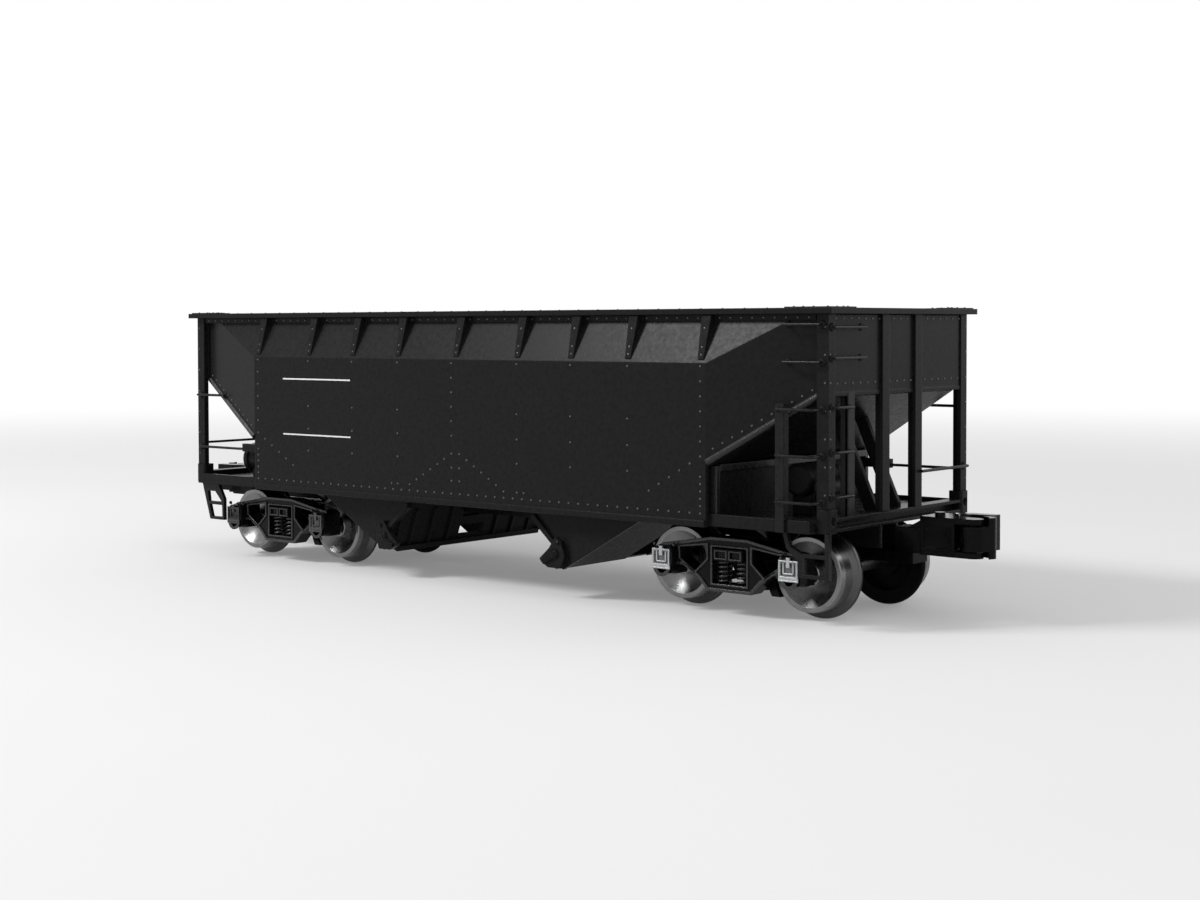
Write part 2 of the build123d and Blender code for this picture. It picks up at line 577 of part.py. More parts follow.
# Brake gear: reservoir and valve at end a, cylinder, rod and hand wheel at end b
RESERVOIR_X = 89.0
RESERVOIR_Y = 9.0
RESERVOIR = 14.0
VALVE_X = 96.5
VALVE_Y = 14.0
with BuildPart() as air_reservoir:
    with BuildSketch(Plane.XZ.offset(RESERVOIR_Y + RESERVOIR / 2)):
        with Locations((RESERVOIR_X, DECK_Z + 9)):
            Circle(3.8)
    extrude(amount=-RESERVOIR)
    fillet(air_reservoir.edges().filter_by(GeomType.CIRCLE), radius=1.0)
    with BuildSketch(Plane.XY.offset(DECK_Z + DECK)):
        with Locations((RESERVOIR_X, -RESERVOIR_Y - 4), (RESERVOIR_X, -RESERVOIR_Y + 4)):
            Rectangle(5, 1.4)
    extrude(amount=7)
keep(air_reservoir, "air_reservoir")

with BuildPart() as control_valve:
    with BuildSketch(Plane.XY.offset(DECK_Z + DECK)):
        with Locations((VALVE_X, -VALVE_Y)):
            RectangleRounded(4.5, 6, 1)
    extrude(amount=6)
    with BuildSketch(Plane.XZ.offset(VALVE_Y - 2.5)):
        with Locations((VALVE_X, DECK_Z + 7.5)):
            Circle(2.6)
    extrude(amount=5)
keep(control_valve, "control_valve")

CYLINDER = (-25.0, DECK_Z + DECK + 5.6)
with BuildPart() as brake_cylinder:
    with BuildSketch(Plane.YZ.offset(-PLATFORM_IN - 9.8)):
        with Locations(CYLINDER):
            Circle(3.7)
    extrude(amount=9.2)
    with BuildSketch(Plane.YZ.offset(-PLATFORM_IN - 10.4)):
        with Locations(CYLINDER):
            Circle(4.3)
    extrude(amount=1.4)
    with BuildSketch(Plane.XY.offset(DECK_Z + DECK)):
        with Locations((-PLATFORM_IN - 7.6, CYLINDER[0]), (-PLATFORM_IN - 3, CYLINDER[0])):
            Rectangle(1.4, 5)
    extrude(amount=CYLINDER[1] - DECK_Z - DECK)
keep(brake_cylinder, "brake_cylinder")

BRAKE_Z = CHORD_Z - 10.8
BRAKE_Y = 11.0
with BuildPart() as hand_brake:
    with BuildSketch(Plane.YZ.offset(-END_SHEET_OUT)):
        with Locations((BRAKE_Y + 0.4, BRAKE_Z - 0.5)):
            RectangleRounded(5, 7, 1)
    extrude(amount=-2.2)
    with BuildSketch(Plane.YZ.offset(-END_SHEET_OUT - 2.2)):
        with Locations((BRAKE_Y, BRAKE_Z)):
            Circle(0.9)
    extrude(amount=-1.6)
    with BuildSketch(Plane.YZ.offset(-END_SHEET_OUT - 3.0)):
        with Locations((BRAKE_Y, BRAKE_Z)):
            Circle(5.2)
            Circle(4.4, mode=Mode.SUBTRACT)
            Circle(1.5)
            for turn in range(5):
                with PolarLocations(2.7, 1, start_angle=18 + 72 * turn):
                    Rectangle(4.0, 0.7)
    extrude(amount=-0.8)
keep(hand_brake, "hand_brake")

# Kingpins, with a head under each truck bolster
with BuildPart() as kingpin:
    with BuildSketch(Plane.XY.offset(PIVOT_Z)):
        Circle(PIN_R)
    extrude(amount=-6.5)
    with BuildSketch(Plane.XY.offset(PIVOT_Z - 6.5)):
        Circle(2.8)
    extrude(amount=-0.8)
with BuildPart() as kingpins:
    with Locations((TRUCK_X, 0, 0), (-TRUCK_X, 0, 0)):
        add(kingpin.part)
keep(kingpins, "kingpins")

# Truck side frame: cast side with a spring opening, two lightening windows and two journal boxes
OPENING = 9.4
OPENING_TOP = AXLE_Z + 5.1
BOX_Z = AXLE_Z + 1.3
HALF_FRAME = (
    # place from the truck's centre, height from the axle
    (6.0, -5.0), (8.7, -2.2), (HALF_BASE - 4.8, 0.3), (HALF_BASE - 2.6, 0.3), (HALF_BASE - 2.6, -1.9),
    (HALF_BASE + 2.6, -1.9), (HALF_BASE + 2.6, 4.2), (HALF_BASE + 1.0, 5.1), (HALF_BASE - 2.2, 5.5), (5.0, 7.4),
)
WINDOW_IN = OPENING / 2 + 1.6
WINDOW_OUT = HALF_BASE - 3.7
WINDOW_FOOT = WINDOW_IN + 0.44 * (WINDOW_OUT - WINDOW_IN)
WINDOW = (
    (WINDOW_IN, 2.2), (WINDOW_FOOT, -0.8), (WINDOW_OUT - 0.1, 2.0), (WINDOW_OUT + 0.1, 4.4), (WINDOW_IN, 5.4),
)
with BuildPart() as side_frame:
    with BuildSketch(Plane.XZ.offset(-FRAME_IN)):
        with Locations((0, AXLE_Z)):
            Polygon(*HALF_FRAME, *[(-x, z) for x, z in reversed(HALF_FRAME)], align=None)
            for side in (1, -1):
                Polygon(*[(side * x, z) for x, z in WINDOW], align=None, mode=Mode.SUBTRACT)
        with Locations((0, SPRING_LOW)):
            Rectangle(OPENING, OPENING_TOP - SPRING_LOW, align=(Align.CENTER, Align.MIN), mode=Mode.SUBTRACT)
    extrude(amount=-(FRAME_OUT - FRAME_IN))
    with BuildSketch(Plane.XZ.offset(-FRAME_OUT + 0.4)):
        with Locations((HALF_BASE, BOX_Z), (-HALF_BASE, BOX_Z)):
            RectangleRounded(6.0, 6.8, 1.2)
    extrude(amount=-(BOX + 0.4), taper=8)
    with BuildSketch(Plane.XZ.offset(-FRAME_IN)):
        with Locations((HALF_BASE, AXLE_Z), (-HALF_BASE, AXLE_Z)):
            Circle(AXLE_R + FIT)
    extrude(amount=-2.4, mode=Mode.SUBTRACT)
for end, sign in ENDS:
    with BuildPart() as frame_left:
        with Locations((sign * TRUCK_X, 0, 0)):
            add(side_frame.part)
    keep(frame_left, "side_frame_left_" + end)
    with BuildPart() as frame_right:
        mirror(frame_left.part, about=Plane.XZ)
    keep(frame_right, "side_frame_right_" + end)

LID_Z = AXLE_Z + 2.0
with BuildPart() as journal_lids:
    for side in (1, -1):
        with BuildSketch(Plane.XZ.offset(-side * BOX_OUT)):
            with Locations((HALF_BASE, LID_Z), (-HALF_BASE, LID_Z)):
                RectangleRounded(5.0, 4.0, 0.6)
        extrude(amount=-side * LID)
        with BuildSketch(Plane.XZ.offset(-side * LID_OUT)):
            with Locations((HALF_BASE, LID_Z), (-HALF_BASE, LID_Z)):
                RectangleRounded(3.6, 2.7, 0.4)
        extrude(amount=side * 0.45 * LID, mode=Mode.SUBTRACT)
keep_trucks(journal_lids, "journal_lids")

# Truck bolster, with its panelled ends over the springs
BOLSTER_TOP = AXLE_Z + 4.8
with BuildPart() as truck_bolster:
    with BuildSketch(Plane.YZ.offset(-BOLSTER_WIDE / 2)):
        Polygon(
            (-BOLSTER_END, BOLSTER_LOW), (-20, BOLSTER_LOW), (-12, PIVOT_Z - 6.1), (12, PIVOT_Z - 6.1),
            (20, BOLSTER_LOW), (BOLSTER_END, BOLSTER_LOW), (BOLSTER_END, BOLSTER_TOP), (20, BOLSTER_TOP),
            (12, PIVOT_Z - 0.5), (-12, PIVOT_Z - 0.5), (-20, BOLSTER_TOP), (-BOLSTER_END, BOLSTER_TOP),
            align=None)
    extrude(amount=BOLSTER_WIDE)
    for side in (1, -1):
        with BuildSketch(Plane.XZ.offset(-side * BOLSTER_END)):
            with Locations((0, (BOLSTER_LOW + BOLSTER_TOP) / 2)):
                with GridLocations(BOLSTER_WIDE / 2 - 0.2, 1, 2, 1):
                    Rectangle(BOLSTER_WIDE / 2 - 1, BOLSTER_TOP - BOLSTER_LOW - 1)
        extrude(amount=side * 0.4, mode=Mode.SUBTRACT)
    with BuildSketch(Plane.XY.offset(PIVOT_Z - 1.5)):
        Circle(BOLSTER_WIDE / 2 - 0.2)
    extrude(amount=1.5)
    with BuildSketch(Plane.XY.offset(PIVOT_Z)):
        Circle(PIN_R + FIT)
    extrude(amount=-8, mode=Mode.SUBTRACT)
keep_trucks(truck_bolster, "truck_bolster")

# Coil springs, two at each bolster end
SPRING_X = 2.6
SPRING_Y = FRAME_OUT - 1.9
with BuildPart() as springs:
    coil = (BOLSTER_LOW - SPRING_LOW) / 5
    profile = [(0, SPRING_LOW), (1.2, SPRING_LOW)]
    for turn in range(5):
        foot = SPRING_LOW + coil * turn
        profile += [(1.7, foot + 0.3 * coil), (1.7, foot + 0.7 * coil), (1.2, foot + coil)]
    with BuildSketch(Plane.XZ):
        Polygon(*profile, (0, BOLSTER_LOW), align=None)
    revolve(axis=Axis.Z)
with BuildPart() as spring_sets:
    with GridLocations(2 * SPRING_X, 2 * SPRING_Y, 2, 2):
        add(springs.part)
keep_trucks(spring_sets, "springs")

# Brake beams, with shoes that follow the treads
SHOE_IN = TREAD_R + SHOE_GAP
BEAM_X = HALF_BASE - SHOE_IN - SHOE - 0.1
BEAM_Z = AXLE_Z - 2.4
with BuildPart() as brake_beams:
    for side in (1, -1):
        with BuildSketch(Plane.XZ.offset(-FRAME_IN)):
            with Locations((side * BEAM_X, BEAM_Z)):
                Rectangle(1.4, 1.8)
        extrude(amount=2 * FRAME_IN)
        for rail in (1, -1):
            with BuildSketch(Plane.XZ.offset(-rail * (WHEEL_BACK + 2.7))):
                with Locations((side * HALF_BASE, AXLE_Z)):
                    Circle(SHOE_IN + SHOE)
                    Circle(SHOE_IN, mode=Mode.SUBTRACT)
                with Locations((side * BEAM_X, AXLE_Z - 2.2)):
                    Rectangle(9.0, 7.2, mode=Mode.INTERSECT)
            extrude(amount=-rail * 3.2)
keep_trucks(brake_beams, "brake_beams")

# Coupler: arm from the truck bolster, neck, head with a panelled side, guard arm, and lugs for the knuckle
with BuildPart() as coupler:
    with BuildSketch(Plane.XY.offset(ARM_Z)):
        Polygon(
            (BOLSTER_WIDE / 2, -4.0), (NECK_X, -3.2), (NECK_X + 4.8, -3.2), (NECK_X + 4.8, 3.2), (NECK_X, 3.2),
            (BOLSTER_WIDE / 2, 4.0), align=None)
    extrude(amount=ARM)
    with BuildSketch(Plane.XY.offset(HEAD_LOW)):
        Polygon((NECK_X, -3.0), (HEAD_X + 1, -3.0), (HEAD_X + 1, 3.0), (NECK_X, 3.0), align=None)
    extrude(amount=5.7)
    with BuildSketch(Plane.XY.offset(HEAD_LOW)):
        Polygon((HEAD_X, -4.4), (HEAD_FRONT, -4.9), (HEAD_FRONT, 5.0), (HEAD_X, 4.6), align=None)
    extrude(amount=HEAD_HIGH - HEAD_LOW)
    with BuildSketch(Plane.XZ):
        Polygon(
            (NECK_X + 3.2, HEAD_LOW + 5), (NECK_X + 3.2, HEAD_LOW + 5.7), (HEAD_X + 0.5, HEAD_HIGH - 0.4),
            (HEAD_X + 0.5, HEAD_LOW + 5), align=None)
    extrude(amount=2.6, both=True)
    with BuildSketch(Plane.XZ.offset(6)):
        panel = HEAD_HIGH - HEAD_LOW - 2 * LUG - 1.2
        with Locations(((HEAD_X + HEAD_FRONT) / 2, HEAD_LOW + LUG + 0.4)):
            Rectangle(HEAD_FRONT - HEAD_X - 1.8, panel, align=(Align.CENTER, Align.MIN))
    extrude(amount=-1.9, mode=Mode.SUBTRACT)
    with BuildSketch(Plane.XY.offset(HEAD_LOW + 1.1)):
        Polygon(
            (HEAD_FRONT - 2, 1.5), (HEAD_FRONT, 3.2), (KNUCKLE_X, 3.8), (KNUCKLE_X + 1.6, 4.2),
            (KNUCKLE_X + 1.6, 6.6), (HEAD_FRONT - 1, 6.4), (HEAD_FRONT - 4, 4.5), align=None)
    extrude(amount=HEAD_HIGH - HEAD_LOW - 0.8)
    for low in (HEAD_LOW, HEAD_HIGH - LUG):
        with BuildSketch(Plane.XY.offset(low)):
            with Locations((HEAD_FRONT - 1.2, KNUCKLE_Y), (KNUCKLE_X, KNUCKLE_Y)):
                Circle(LUG_R)
            make_hull()
        extrude(amount=LUG)
    with BuildSketch(Plane.XY.offset(HEAD_LOW)):
        with Locations((KNUCKLE_X, KNUCKLE_Y)):
            Circle(0.8)
    extrude(amount=HEAD_HIGH - HEAD_LOW)
    with BuildSketch(Plane.XY.offset(HEAD_HIGH)):
        with Locations((HEAD_X + 3.7, -2)):
            Circle(1.15)
    extrude(amount=0.9)
keep_trucks(coupler, "coupler")

with BuildPart() as knuckle:
    with BuildSketch(Plane.XY.offset(HEAD_LOW - 0.1)):
        with Locations((KNUCKLE_X, KNUCKLE_Y)):
            Circle(KNUCKLE_R)
        with Locations((KNUCKLE_X + 2.2, KNUCKLE_Y + 2.3)):
            Circle(1.8)
        make_hull()
        with Locations((KNUCKLE_X - 1.2, KNUCKLE_Y + 4.2)):
            Circle(2.0, mode=Mode.SUBTRACT)
    extrude(amount=HEAD_HIGH - HEAD_LOW + 0.4)
    for low in (HEAD_LOW - 1, HEAD_HIGH - LUG - 0.3):
        with BuildSketch(Plane.XY.offset(low)):
            with Locations((KNUCKLE_X, KNUCKLE_Y)):
                Circle(3.4)
        extrude(amount=LUG + 1.3, mode=Mode.SUBTRACT)
    with BuildSketch(Plane.XY.offset(HEAD_LOW)):
        with Locations((KNUCKLE_X, KNUCKLE_Y)):
            Circle(0.8 + FIT)
    extrude(amount=HEAD_HIGH - HEAD_LOW, mode=Mode.SUBTRACT)
keep_trucks(knuckle, "knuckle")

# Wheels and axles
HUB_R = AXLE_R + 1.9
RIM_R = TREAD_R - 1.33
AXLE_END = FRAME_IN + 2.0
with BuildPart() as wheel:
    with BuildSketch():
        with BuildLine():
            flange = TREAD_R + 0.65 * FLANGE_DEPTH
            Polyline(
                (AXLE_R, WHEEL_BACK + 0.2), (HUB_R, WHEEL_BACK + 0.2), (HUB_R + 0.2, WHEEL_BACK + 1.8),
                (RIM_R - 0.6, WHEEL_BACK + 2.2), (RIM_R - 0.2, WHEEL_BACK), (flange - 0.2, WHEEL_BACK))
            ThreePointArc(
                (flange - 0.2, WHEEL_BACK), (AXLE_Z, WHEEL_BACK + 0.7), (flange, WHEEL_BACK + 1.4))
            Polyline(
                (flange, WHEEL_BACK + 1.4), (TREAD_R, WHEEL_BACK + 2.4), (TREAD_R - 0.15, WHEEL_FACE - 0.4),
                (TREAD_R - 0.5, WHEEL_FACE), (RIM_R, WHEEL_FACE), (RIM_R - 0.5, WHEEL_FACE - 1.2),
                (HUB_R, WHEEL_FACE - 1.8), (HUB_R - 0.4, WHEEL_FACE + 0.2), (AXLE_R, WHEEL_FACE + 0.2),
                (AXLE_R, WHEEL_BACK + 0.2))
        make_face()
    revolve(axis=Axis.Y)
with BuildPart() as axle:
    with BuildSketch():
        Polygon(
            (0, -AXLE_END), (0.9, -AXLE_END + 0.6), (AXLE_R, -AXLE_END + 1.4), (AXLE_R, AXLE_END - 1.4),
            (0.9, AXLE_END - 0.6), (0, AXLE_END), align=None)
    revolve(axis=Axis.Y)
for end, sign in ENDS:
    for number, place in ((1, 1), (2, -1)):
        axle_x = sign * (TRUCK_X + place * HALF_BASE)
        with BuildPart() as wheels:
            with Locations((axle_x, 0, AXLE_Z)):
                add(wheel.part)
                add(wheel.part, rotation=(0, 0, 180))
        keep(wheels, "wheels_" + end + str(number))
        with BuildPart() as axle_placed:
            with Locations((axle_x, 0, AXLE_Z)):
                add(axle.part)
        keep(axle_placed, "axle_" + end + str(number))
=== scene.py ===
import json
import math
import bmesh
import bpy
from mathutils import Matrix, Vector


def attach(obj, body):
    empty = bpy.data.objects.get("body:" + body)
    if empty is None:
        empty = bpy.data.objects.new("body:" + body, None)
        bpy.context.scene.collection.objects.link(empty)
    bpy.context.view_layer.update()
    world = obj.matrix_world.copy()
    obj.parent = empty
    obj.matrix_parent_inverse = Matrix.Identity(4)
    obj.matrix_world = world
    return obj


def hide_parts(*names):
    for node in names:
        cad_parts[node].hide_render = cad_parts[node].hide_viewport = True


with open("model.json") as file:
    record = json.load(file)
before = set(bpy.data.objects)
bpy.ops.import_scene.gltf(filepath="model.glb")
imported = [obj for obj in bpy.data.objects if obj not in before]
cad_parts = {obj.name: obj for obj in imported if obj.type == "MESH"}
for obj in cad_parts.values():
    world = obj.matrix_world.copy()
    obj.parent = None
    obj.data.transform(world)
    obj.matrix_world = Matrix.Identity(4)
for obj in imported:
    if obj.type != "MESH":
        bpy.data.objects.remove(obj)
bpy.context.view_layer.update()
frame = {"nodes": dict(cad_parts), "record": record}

scene = bpy.context.scene
scene.view_settings.view_transform = "Standard"

# Sizes repeated from the part, in millimetres
PANEL_X, PANEL_Y, PANEL_BOTTOM = 77.0, 34.2, 21.0
SHEET_END_X, SHEET_END_Y, END_FACE = 103.2, 28.7, 104.4
BEND_Z, CHORD_Z, TOP_Z = 57.5, 68.3, 69.6
LEG_Y, CHORD_X, CHORD_Y = 30.2, 108.3, 32.3
POST_X, POST_Y = 106.5, 30.5
SILL_LOW, SILL_TOP, DECK_TOP, END_SILL_TOP = 21.2, 24.0, 23.0, 24.4
SLOPE, CUT_Z = 0.58, 34.4
STAKES = (20.6, 37.6, 54.8)
LAST_STAKE, MID_PAIR = 75.5, 1.35
STILE_X, GRAB_X, END_GRAB_Y, LEFT_GRAB_X = 96.2, 105.0, 29.2, 93.6
TRUCK_X, HALF_BASE, AXLE_Z = 77.0, 17.5, 10.43
FRAME_OUT, LID_OUT = 25.1, 27.8
SPRING_X, SPRING_Y, SPRING_LOW, SPRING_HIGH = 2.6, 23.2, 7.23, 12.63
OPENING, OPENING_TOP = 9.4, 15.53
BOLSTER_WIDE, BOLSTER_END, BOLSTER_TOP = 7.9, 25.8, 15.23
LID_Z, LID_WIDE, LID_TALL = 12.43, 5.0, 4.0
TREAD_R, FLANGE_R, AXLE_R, WHEEL_BACK, WHEEL_FACE = 8.73, 10.43, 1.5, 13.2, 19.6
ENDS = (("a", 1), ("b", -1))
BOTH = (1, -1)
PER_METRE = 1000.0

# Faces of the end sheets, just behind the posts
SKIN_X, SKIN_Y, SKIN_LOW = 106.15, 29.4, 50.5

# Directions
ALONG, ACROSS, UP = (1, 0, 0), (0, 1, 0), (0, 0, 1)
NEAR = (0, -1, 0)


def panel_face(x):
    """How far out the drawn-in end panel stands."""
    return SHEET_END_Y + (SHEET_END_X - abs(x)) * (PANEL_Y - SHEET_END_Y) / (SHEET_END_X - PANEL_X)


def under_slope(x):
    """Height of the slope sheet's underside."""
    return CUT_Z + (abs(x) - PANEL_X) * SLOPE


def spread(first, last, step):
    """Evenly spaced places, about a step apart, both ends included."""
    count = max(1, round(abs(last - first) / step))
    return [first + (last - first) * k / count for k in range(count + 1)]


# Materials
TONE_LOW, TONE_HIGH = 0.3, 0.7
GLOSS_SPREAD = 0.05
SKIN_DEPTH = 0.0002


def node(tree, kind, **values):
    made = tree.nodes.new(kind)
    for key, value in values.items():
        setattr(made, key, value)
    return made


def noise(tree, place, scale, detail):
    made = node(tree, "ShaderNodeTexNoise")
    made.inputs["Scale"].default_value = scale
    made.inputs["Detail"].default_value = detail
    tree.links.new(place.outputs["Object"], made.inputs["Vector"])
    return made.outputs["Fac"]


def finish_of(name, dark, light, rough, grain=900.0, peel=2600.0, bump=0.04, metallic=0.0, specular=0.5,
              edge=0.00012):
    """A painted or metal finish: two close tones, uneven gloss, a fine skin and softened edges."""
    made = bpy.data.materials.new(name)
    made.use_nodes = True
    tree = made.node_tree
    shader = tree.nodes["Principled BSDF"]
    shader.inputs["Metallic"].default_value = metallic
    shader.inputs["Specular IOR Level"].default_value = specular
    place = node(tree, "ShaderNodeTexCoord")
    tone = noise(tree, place, grain, 5.0)
    ramp = node(tree, "ShaderNodeValToRGB")
    for stop, position, colour in zip(ramp.color_ramp.elements, (TONE_LOW, TONE_HIGH), (dark, light)):
        stop.position = position
        stop.color = (*colour, 1.0)
    tree.links.new(tone, ramp.inputs["Fac"])
    tree.links.new(ramp.outputs["Color"], shader.inputs["Base Color"])
    gloss = node(tree, "ShaderNodeMapRange")
    gloss.inputs["From Min"].default_value = TONE_LOW
    gloss.inputs["From Max"].default_value = TONE_HIGH
    gloss.inputs["To Min"].default_value = rough - GLOSS_SPREAD
    gloss.inputs["To Max"].default_value = rough + GLOSS_SPREAD
    tree.links.new(tone, gloss.inputs["Value"])
    tree.links.new(gloss.outputs["Result"], shader.inputs["Roughness"])
    relief = node(tree, "ShaderNodeBump")
    relief.inputs["Strength"].default_value = bump
    relief.inputs["Distance"].default_value = SKIN_DEPTH
    tree.links.new(noise(tree, place, peel, 2.0), relief.inputs["Height"])
    if edge:
        rounding = node(tree, "ShaderNodeBevel", samples=4)
        rounding.inputs["Radius"].default_value = edge
        tree.links.new(rounding.outputs["Normal"], relief.inputs["Normal"])
    tree.links.new(relief.outputs["Normal"], shader.inputs["Normal"])
    return made


# Turned steel: where the wheel's colours change, in metres, and its fine turning marks
COATED_BACK, COATED_WEB = 0.01405, 0.0162
# Past the second radius below, the tread and flange take a darker tone: painted shade for the dark underbody
# they reflect
WEB_R, TREAD_SHADE_R = 0.0083, 0.00862
MARKS_PER_METRE, MARK_STRENGTH, MARK_DEPTH = 26000.0, 0.02, 0.0001
TREAD_SHADE_TONE = (0.09, 0.09, 0.092, 1.0)
BACK_TONE = (0.006, 0.006, 0.006, 1.0)


def turned_steel(name):
    """Bright steel on the wheel's face, a tread and flange painted darker as shade from the dark underbody
    they reflect, and black on its back.
    """
    made = finish_of(name, (0.18, 0.18, 0.184), (0.22, 0.22, 0.221), 0.3, grain=500.0, bump=0.0,
                     metallic=1.0, specular=0.05)
    tree = made.node_tree
    shader = tree.nodes["Principled BSDF"]
    place = node(tree, "ShaderNodeTexCoord")
    split = node(tree, "ShaderNodeSeparateXYZ")
    tree.links.new(place.outputs["Object"], split.inputs["Vector"])

    def sum_up(operation, first, second=None):
        step = node(tree, "ShaderNodeMath", operation=operation)
        for socket, value in zip(step.inputs, (first, second)):
            if isinstance(value, float):
                socket.default_value = value
            elif value is not None:
                tree.links.new(value, socket)
        return step.outputs["Value"]

    def mix(share, below, above):
        step = node(tree, "ShaderNodeMix", data_type="RGBA")
        step.inputs["B"].default_value = above
        tree.links.new(share, step.inputs["Factor"])
        tree.links.new(below, step.inputs["A"])
        return step.outputs["Result"]

    from_truck = sum_up("SUBTRACT", sum_up("ABSOLUTE", split.outputs["X"]), TRUCK_X / PER_METRE)
    along = sum_up("SUBTRACT", sum_up("ABSOLUTE", from_truck), HALF_BASE / PER_METRE)
    above = sum_up("SUBTRACT", split.outputs["Z"], AXLE_Z / PER_METRE)
    radius = sum_up("SQRT", sum_up("ADD", sum_up("POWER", along, 2.0), sum_up("POWER", above, 2.0)))
    outward = sum_up("ABSOLUTE", split.outputs["Y"])
    relief = node(tree, "ShaderNodeBump")
    relief.inputs["Strength"].default_value = MARK_STRENGTH
    relief.inputs["Distance"].default_value = MARK_DEPTH
    tree.links.new(sum_up("SINE", sum_up("MULTIPLY", radius, MARKS_PER_METRE)), relief.inputs["Height"])
    tree.links.new(shader.inputs["Normal"].links[0].from_socket, relief.inputs["Normal"])
    tree.links.new(relief.outputs["Normal"], shader.inputs["Normal"])
    web = sum_up("MULTIPLY", sum_up("LESS_THAN", outward, COATED_WEB), sum_up("LESS_THAN", radius, WEB_R))
    back = sum_up("MAXIMUM", sum_up("LESS_THAN", outward, COATED_BACK), web)
    bright = shader.inputs["Base Color"].links[0].from_socket
    # Painted shade: tread and flange darker than the bright face
    tread_shade = mix(sum_up("GREATER_THAN", radius, TREAD_SHADE_R), bright, TREAD_SHADE_TONE)
    tree.links.new(mix(back, tread_shade, BACK_TONE), shader.inputs["Base Color"])
    tree.links.new(sum_up("SUBTRACT", 1.0, back), shader.inputs["Metallic"])
    return made


LOOKS = {
    "body_paint": finish_of("satin_black", (0.01, 0.01, 0.0105), (0.0135, 0.0135, 0.014), 0.29,
                            specular=0.055, edge=0.00035),
    "truck_casting": finish_of("gloss_black", (0.003, 0.003, 0.0032), (0.005, 0.005, 0.005), 0.2,
                               peel=1600.0, bump=0.06, specular=0.1, edge=0.0003),
    "coupler_casting": finish_of("coupler_black", (0.002, 0.002, 0.002), (0.004, 0.004, 0.004), 0.16,
                                 peel=1500.0, bump=0.08, specular=0.07, edge=0.0004),
    "wheel_steel": turned_steel("turned_steel"),
    "axle_steel": finish_of("axle_steel", (0.05, 0.05, 0.052), (0.09, 0.09, 0.09), 0.38, metallic=1.0),
    "lid_silver": finish_of("lid_silver", (0.36, 0.37, 0.38), (0.5, 0.51, 0.52), 0.38,
                            grain=2500.0, metallic=0.7, bump=0.06),
    "spring_steel": finish_of("spring_black", (0.008, 0.008, 0.008), (0.014, 0.014, 0.014), 0.28),
    "wire_black": finish_of("wire_black", (0.008, 0.008, 0.0085), (0.012, 0.012, 0.012), 0.28,
                            specular=0.12),
}
# Rivet heads are painted lighter than the body paint, as painted highlight on their domes
RIVET_HIGHLIGHT = finish_of("rivet_painted_highlight", (0.05, 0.05, 0.051), (0.075, 0.075, 0.076), 0.26, specular=0.6, edge=0.0)
# Darker copy of the lid silver for truck b, as painted shade: its lids are the same silver but show a dark
# reflection
LID_PAINTED_SHADE = finish_of("lid_painted_shade", (0.05, 0.05, 0.052), (0.09, 0.09, 0.092), 0.3,
                     grain=2500.0, metallic=0.7, bump=0.06)
# The recessed lid plates are painted darker than their silver ribs, as painted shade in the recess
LID_RECESS_SHADE = finish_of("lid_recess_painted_shade", (0.1, 0.1, 0.102), (0.16, 0.16, 0.163), 0.34,
                       grain=2500.0, metallic=0.7, bump=0.06)
# Lips are a little glossier than the body paint and a little lighter; the lighter tone is a painted
# highlight along them
PAINTED_HIGHLIGHT_LIP = finish_of("lip_painted_highlight", (0.012, 0.012, 0.0125), (0.018, 0.018, 0.0185), 0.24, specular=0.3, edge=0.0003)
# Darker, less glossy copy of the body paint for the slope sheets, as painted shade under the car
SLOPE_SHADE = finish_of("slope_painted_shade", (0.006, 0.006, 0.0065), (0.009, 0.009, 0.0095), 0.3, specular=0.025)
# Rims of the truck castings are painted lighter than the castings, as painted highlight along their edges
CAST_EDGE_HIGHLIGHT = finish_of("cast_edges_painted_highlight", (0.02, 0.02, 0.021), (0.045, 0.045, 0.046), 0.26,
                      grain=1800.0, metallic=0.3, edge=0.0002)
STRIPE = finish_of("stripe_white", (0.70, 0.70, 0.69), (0.78, 0.78, 0.77), 0.5, grain=1500.0, edge=0.0)

for row in frame["record"]["subparts"]:
    shown = frame["nodes"][row["node"]]
    shown.data.materials.clear()
    shown.data.materials.append(LOOKS[row["material_slot"]])
# Slope sheets get the painted-shade copy of the body paint; truck a's lid plates and truck b's lids get
# painted-shade copies of the silver
for end, _ in ENDS:
    frame["nodes"]["slope_sheet_" + end].data.materials[0] = SLOPE_SHADE
frame["nodes"]["journal_lids_a"].data.materials[0] = LID_RECESS_SHADE
frame["nodes"]["journal_lids_b"].data.materials[0] = LID_PAINTED_SHADE

# Shapes: a rounded head as shares of its radius and height, and how deep a rim is rooted
HEAD_RINGS = ((1.0, -0.12), (0.97, 0.3), (0.66, 0.8))
RIM_ROOT = -0.15


def circle(count):
    """Cosine and sine of each step round a circle."""
    turns = [2 * math.pi * k / count for k in range(count)]
    return [(math.cos(a), math.sin(a)) for a in turns]


def bands(rings, count, closed=False):
    """Faces between rings of points that follow one another."""
    faces = []
    for ring in range(rings if closed else rings - 1):
        low, high = ring * count, (ring + 1) % rings * count
        faces += [(low + k, low + (k + 1) % count, high + (k + 1) % count, high + k) for k in range(count)]
    return faces


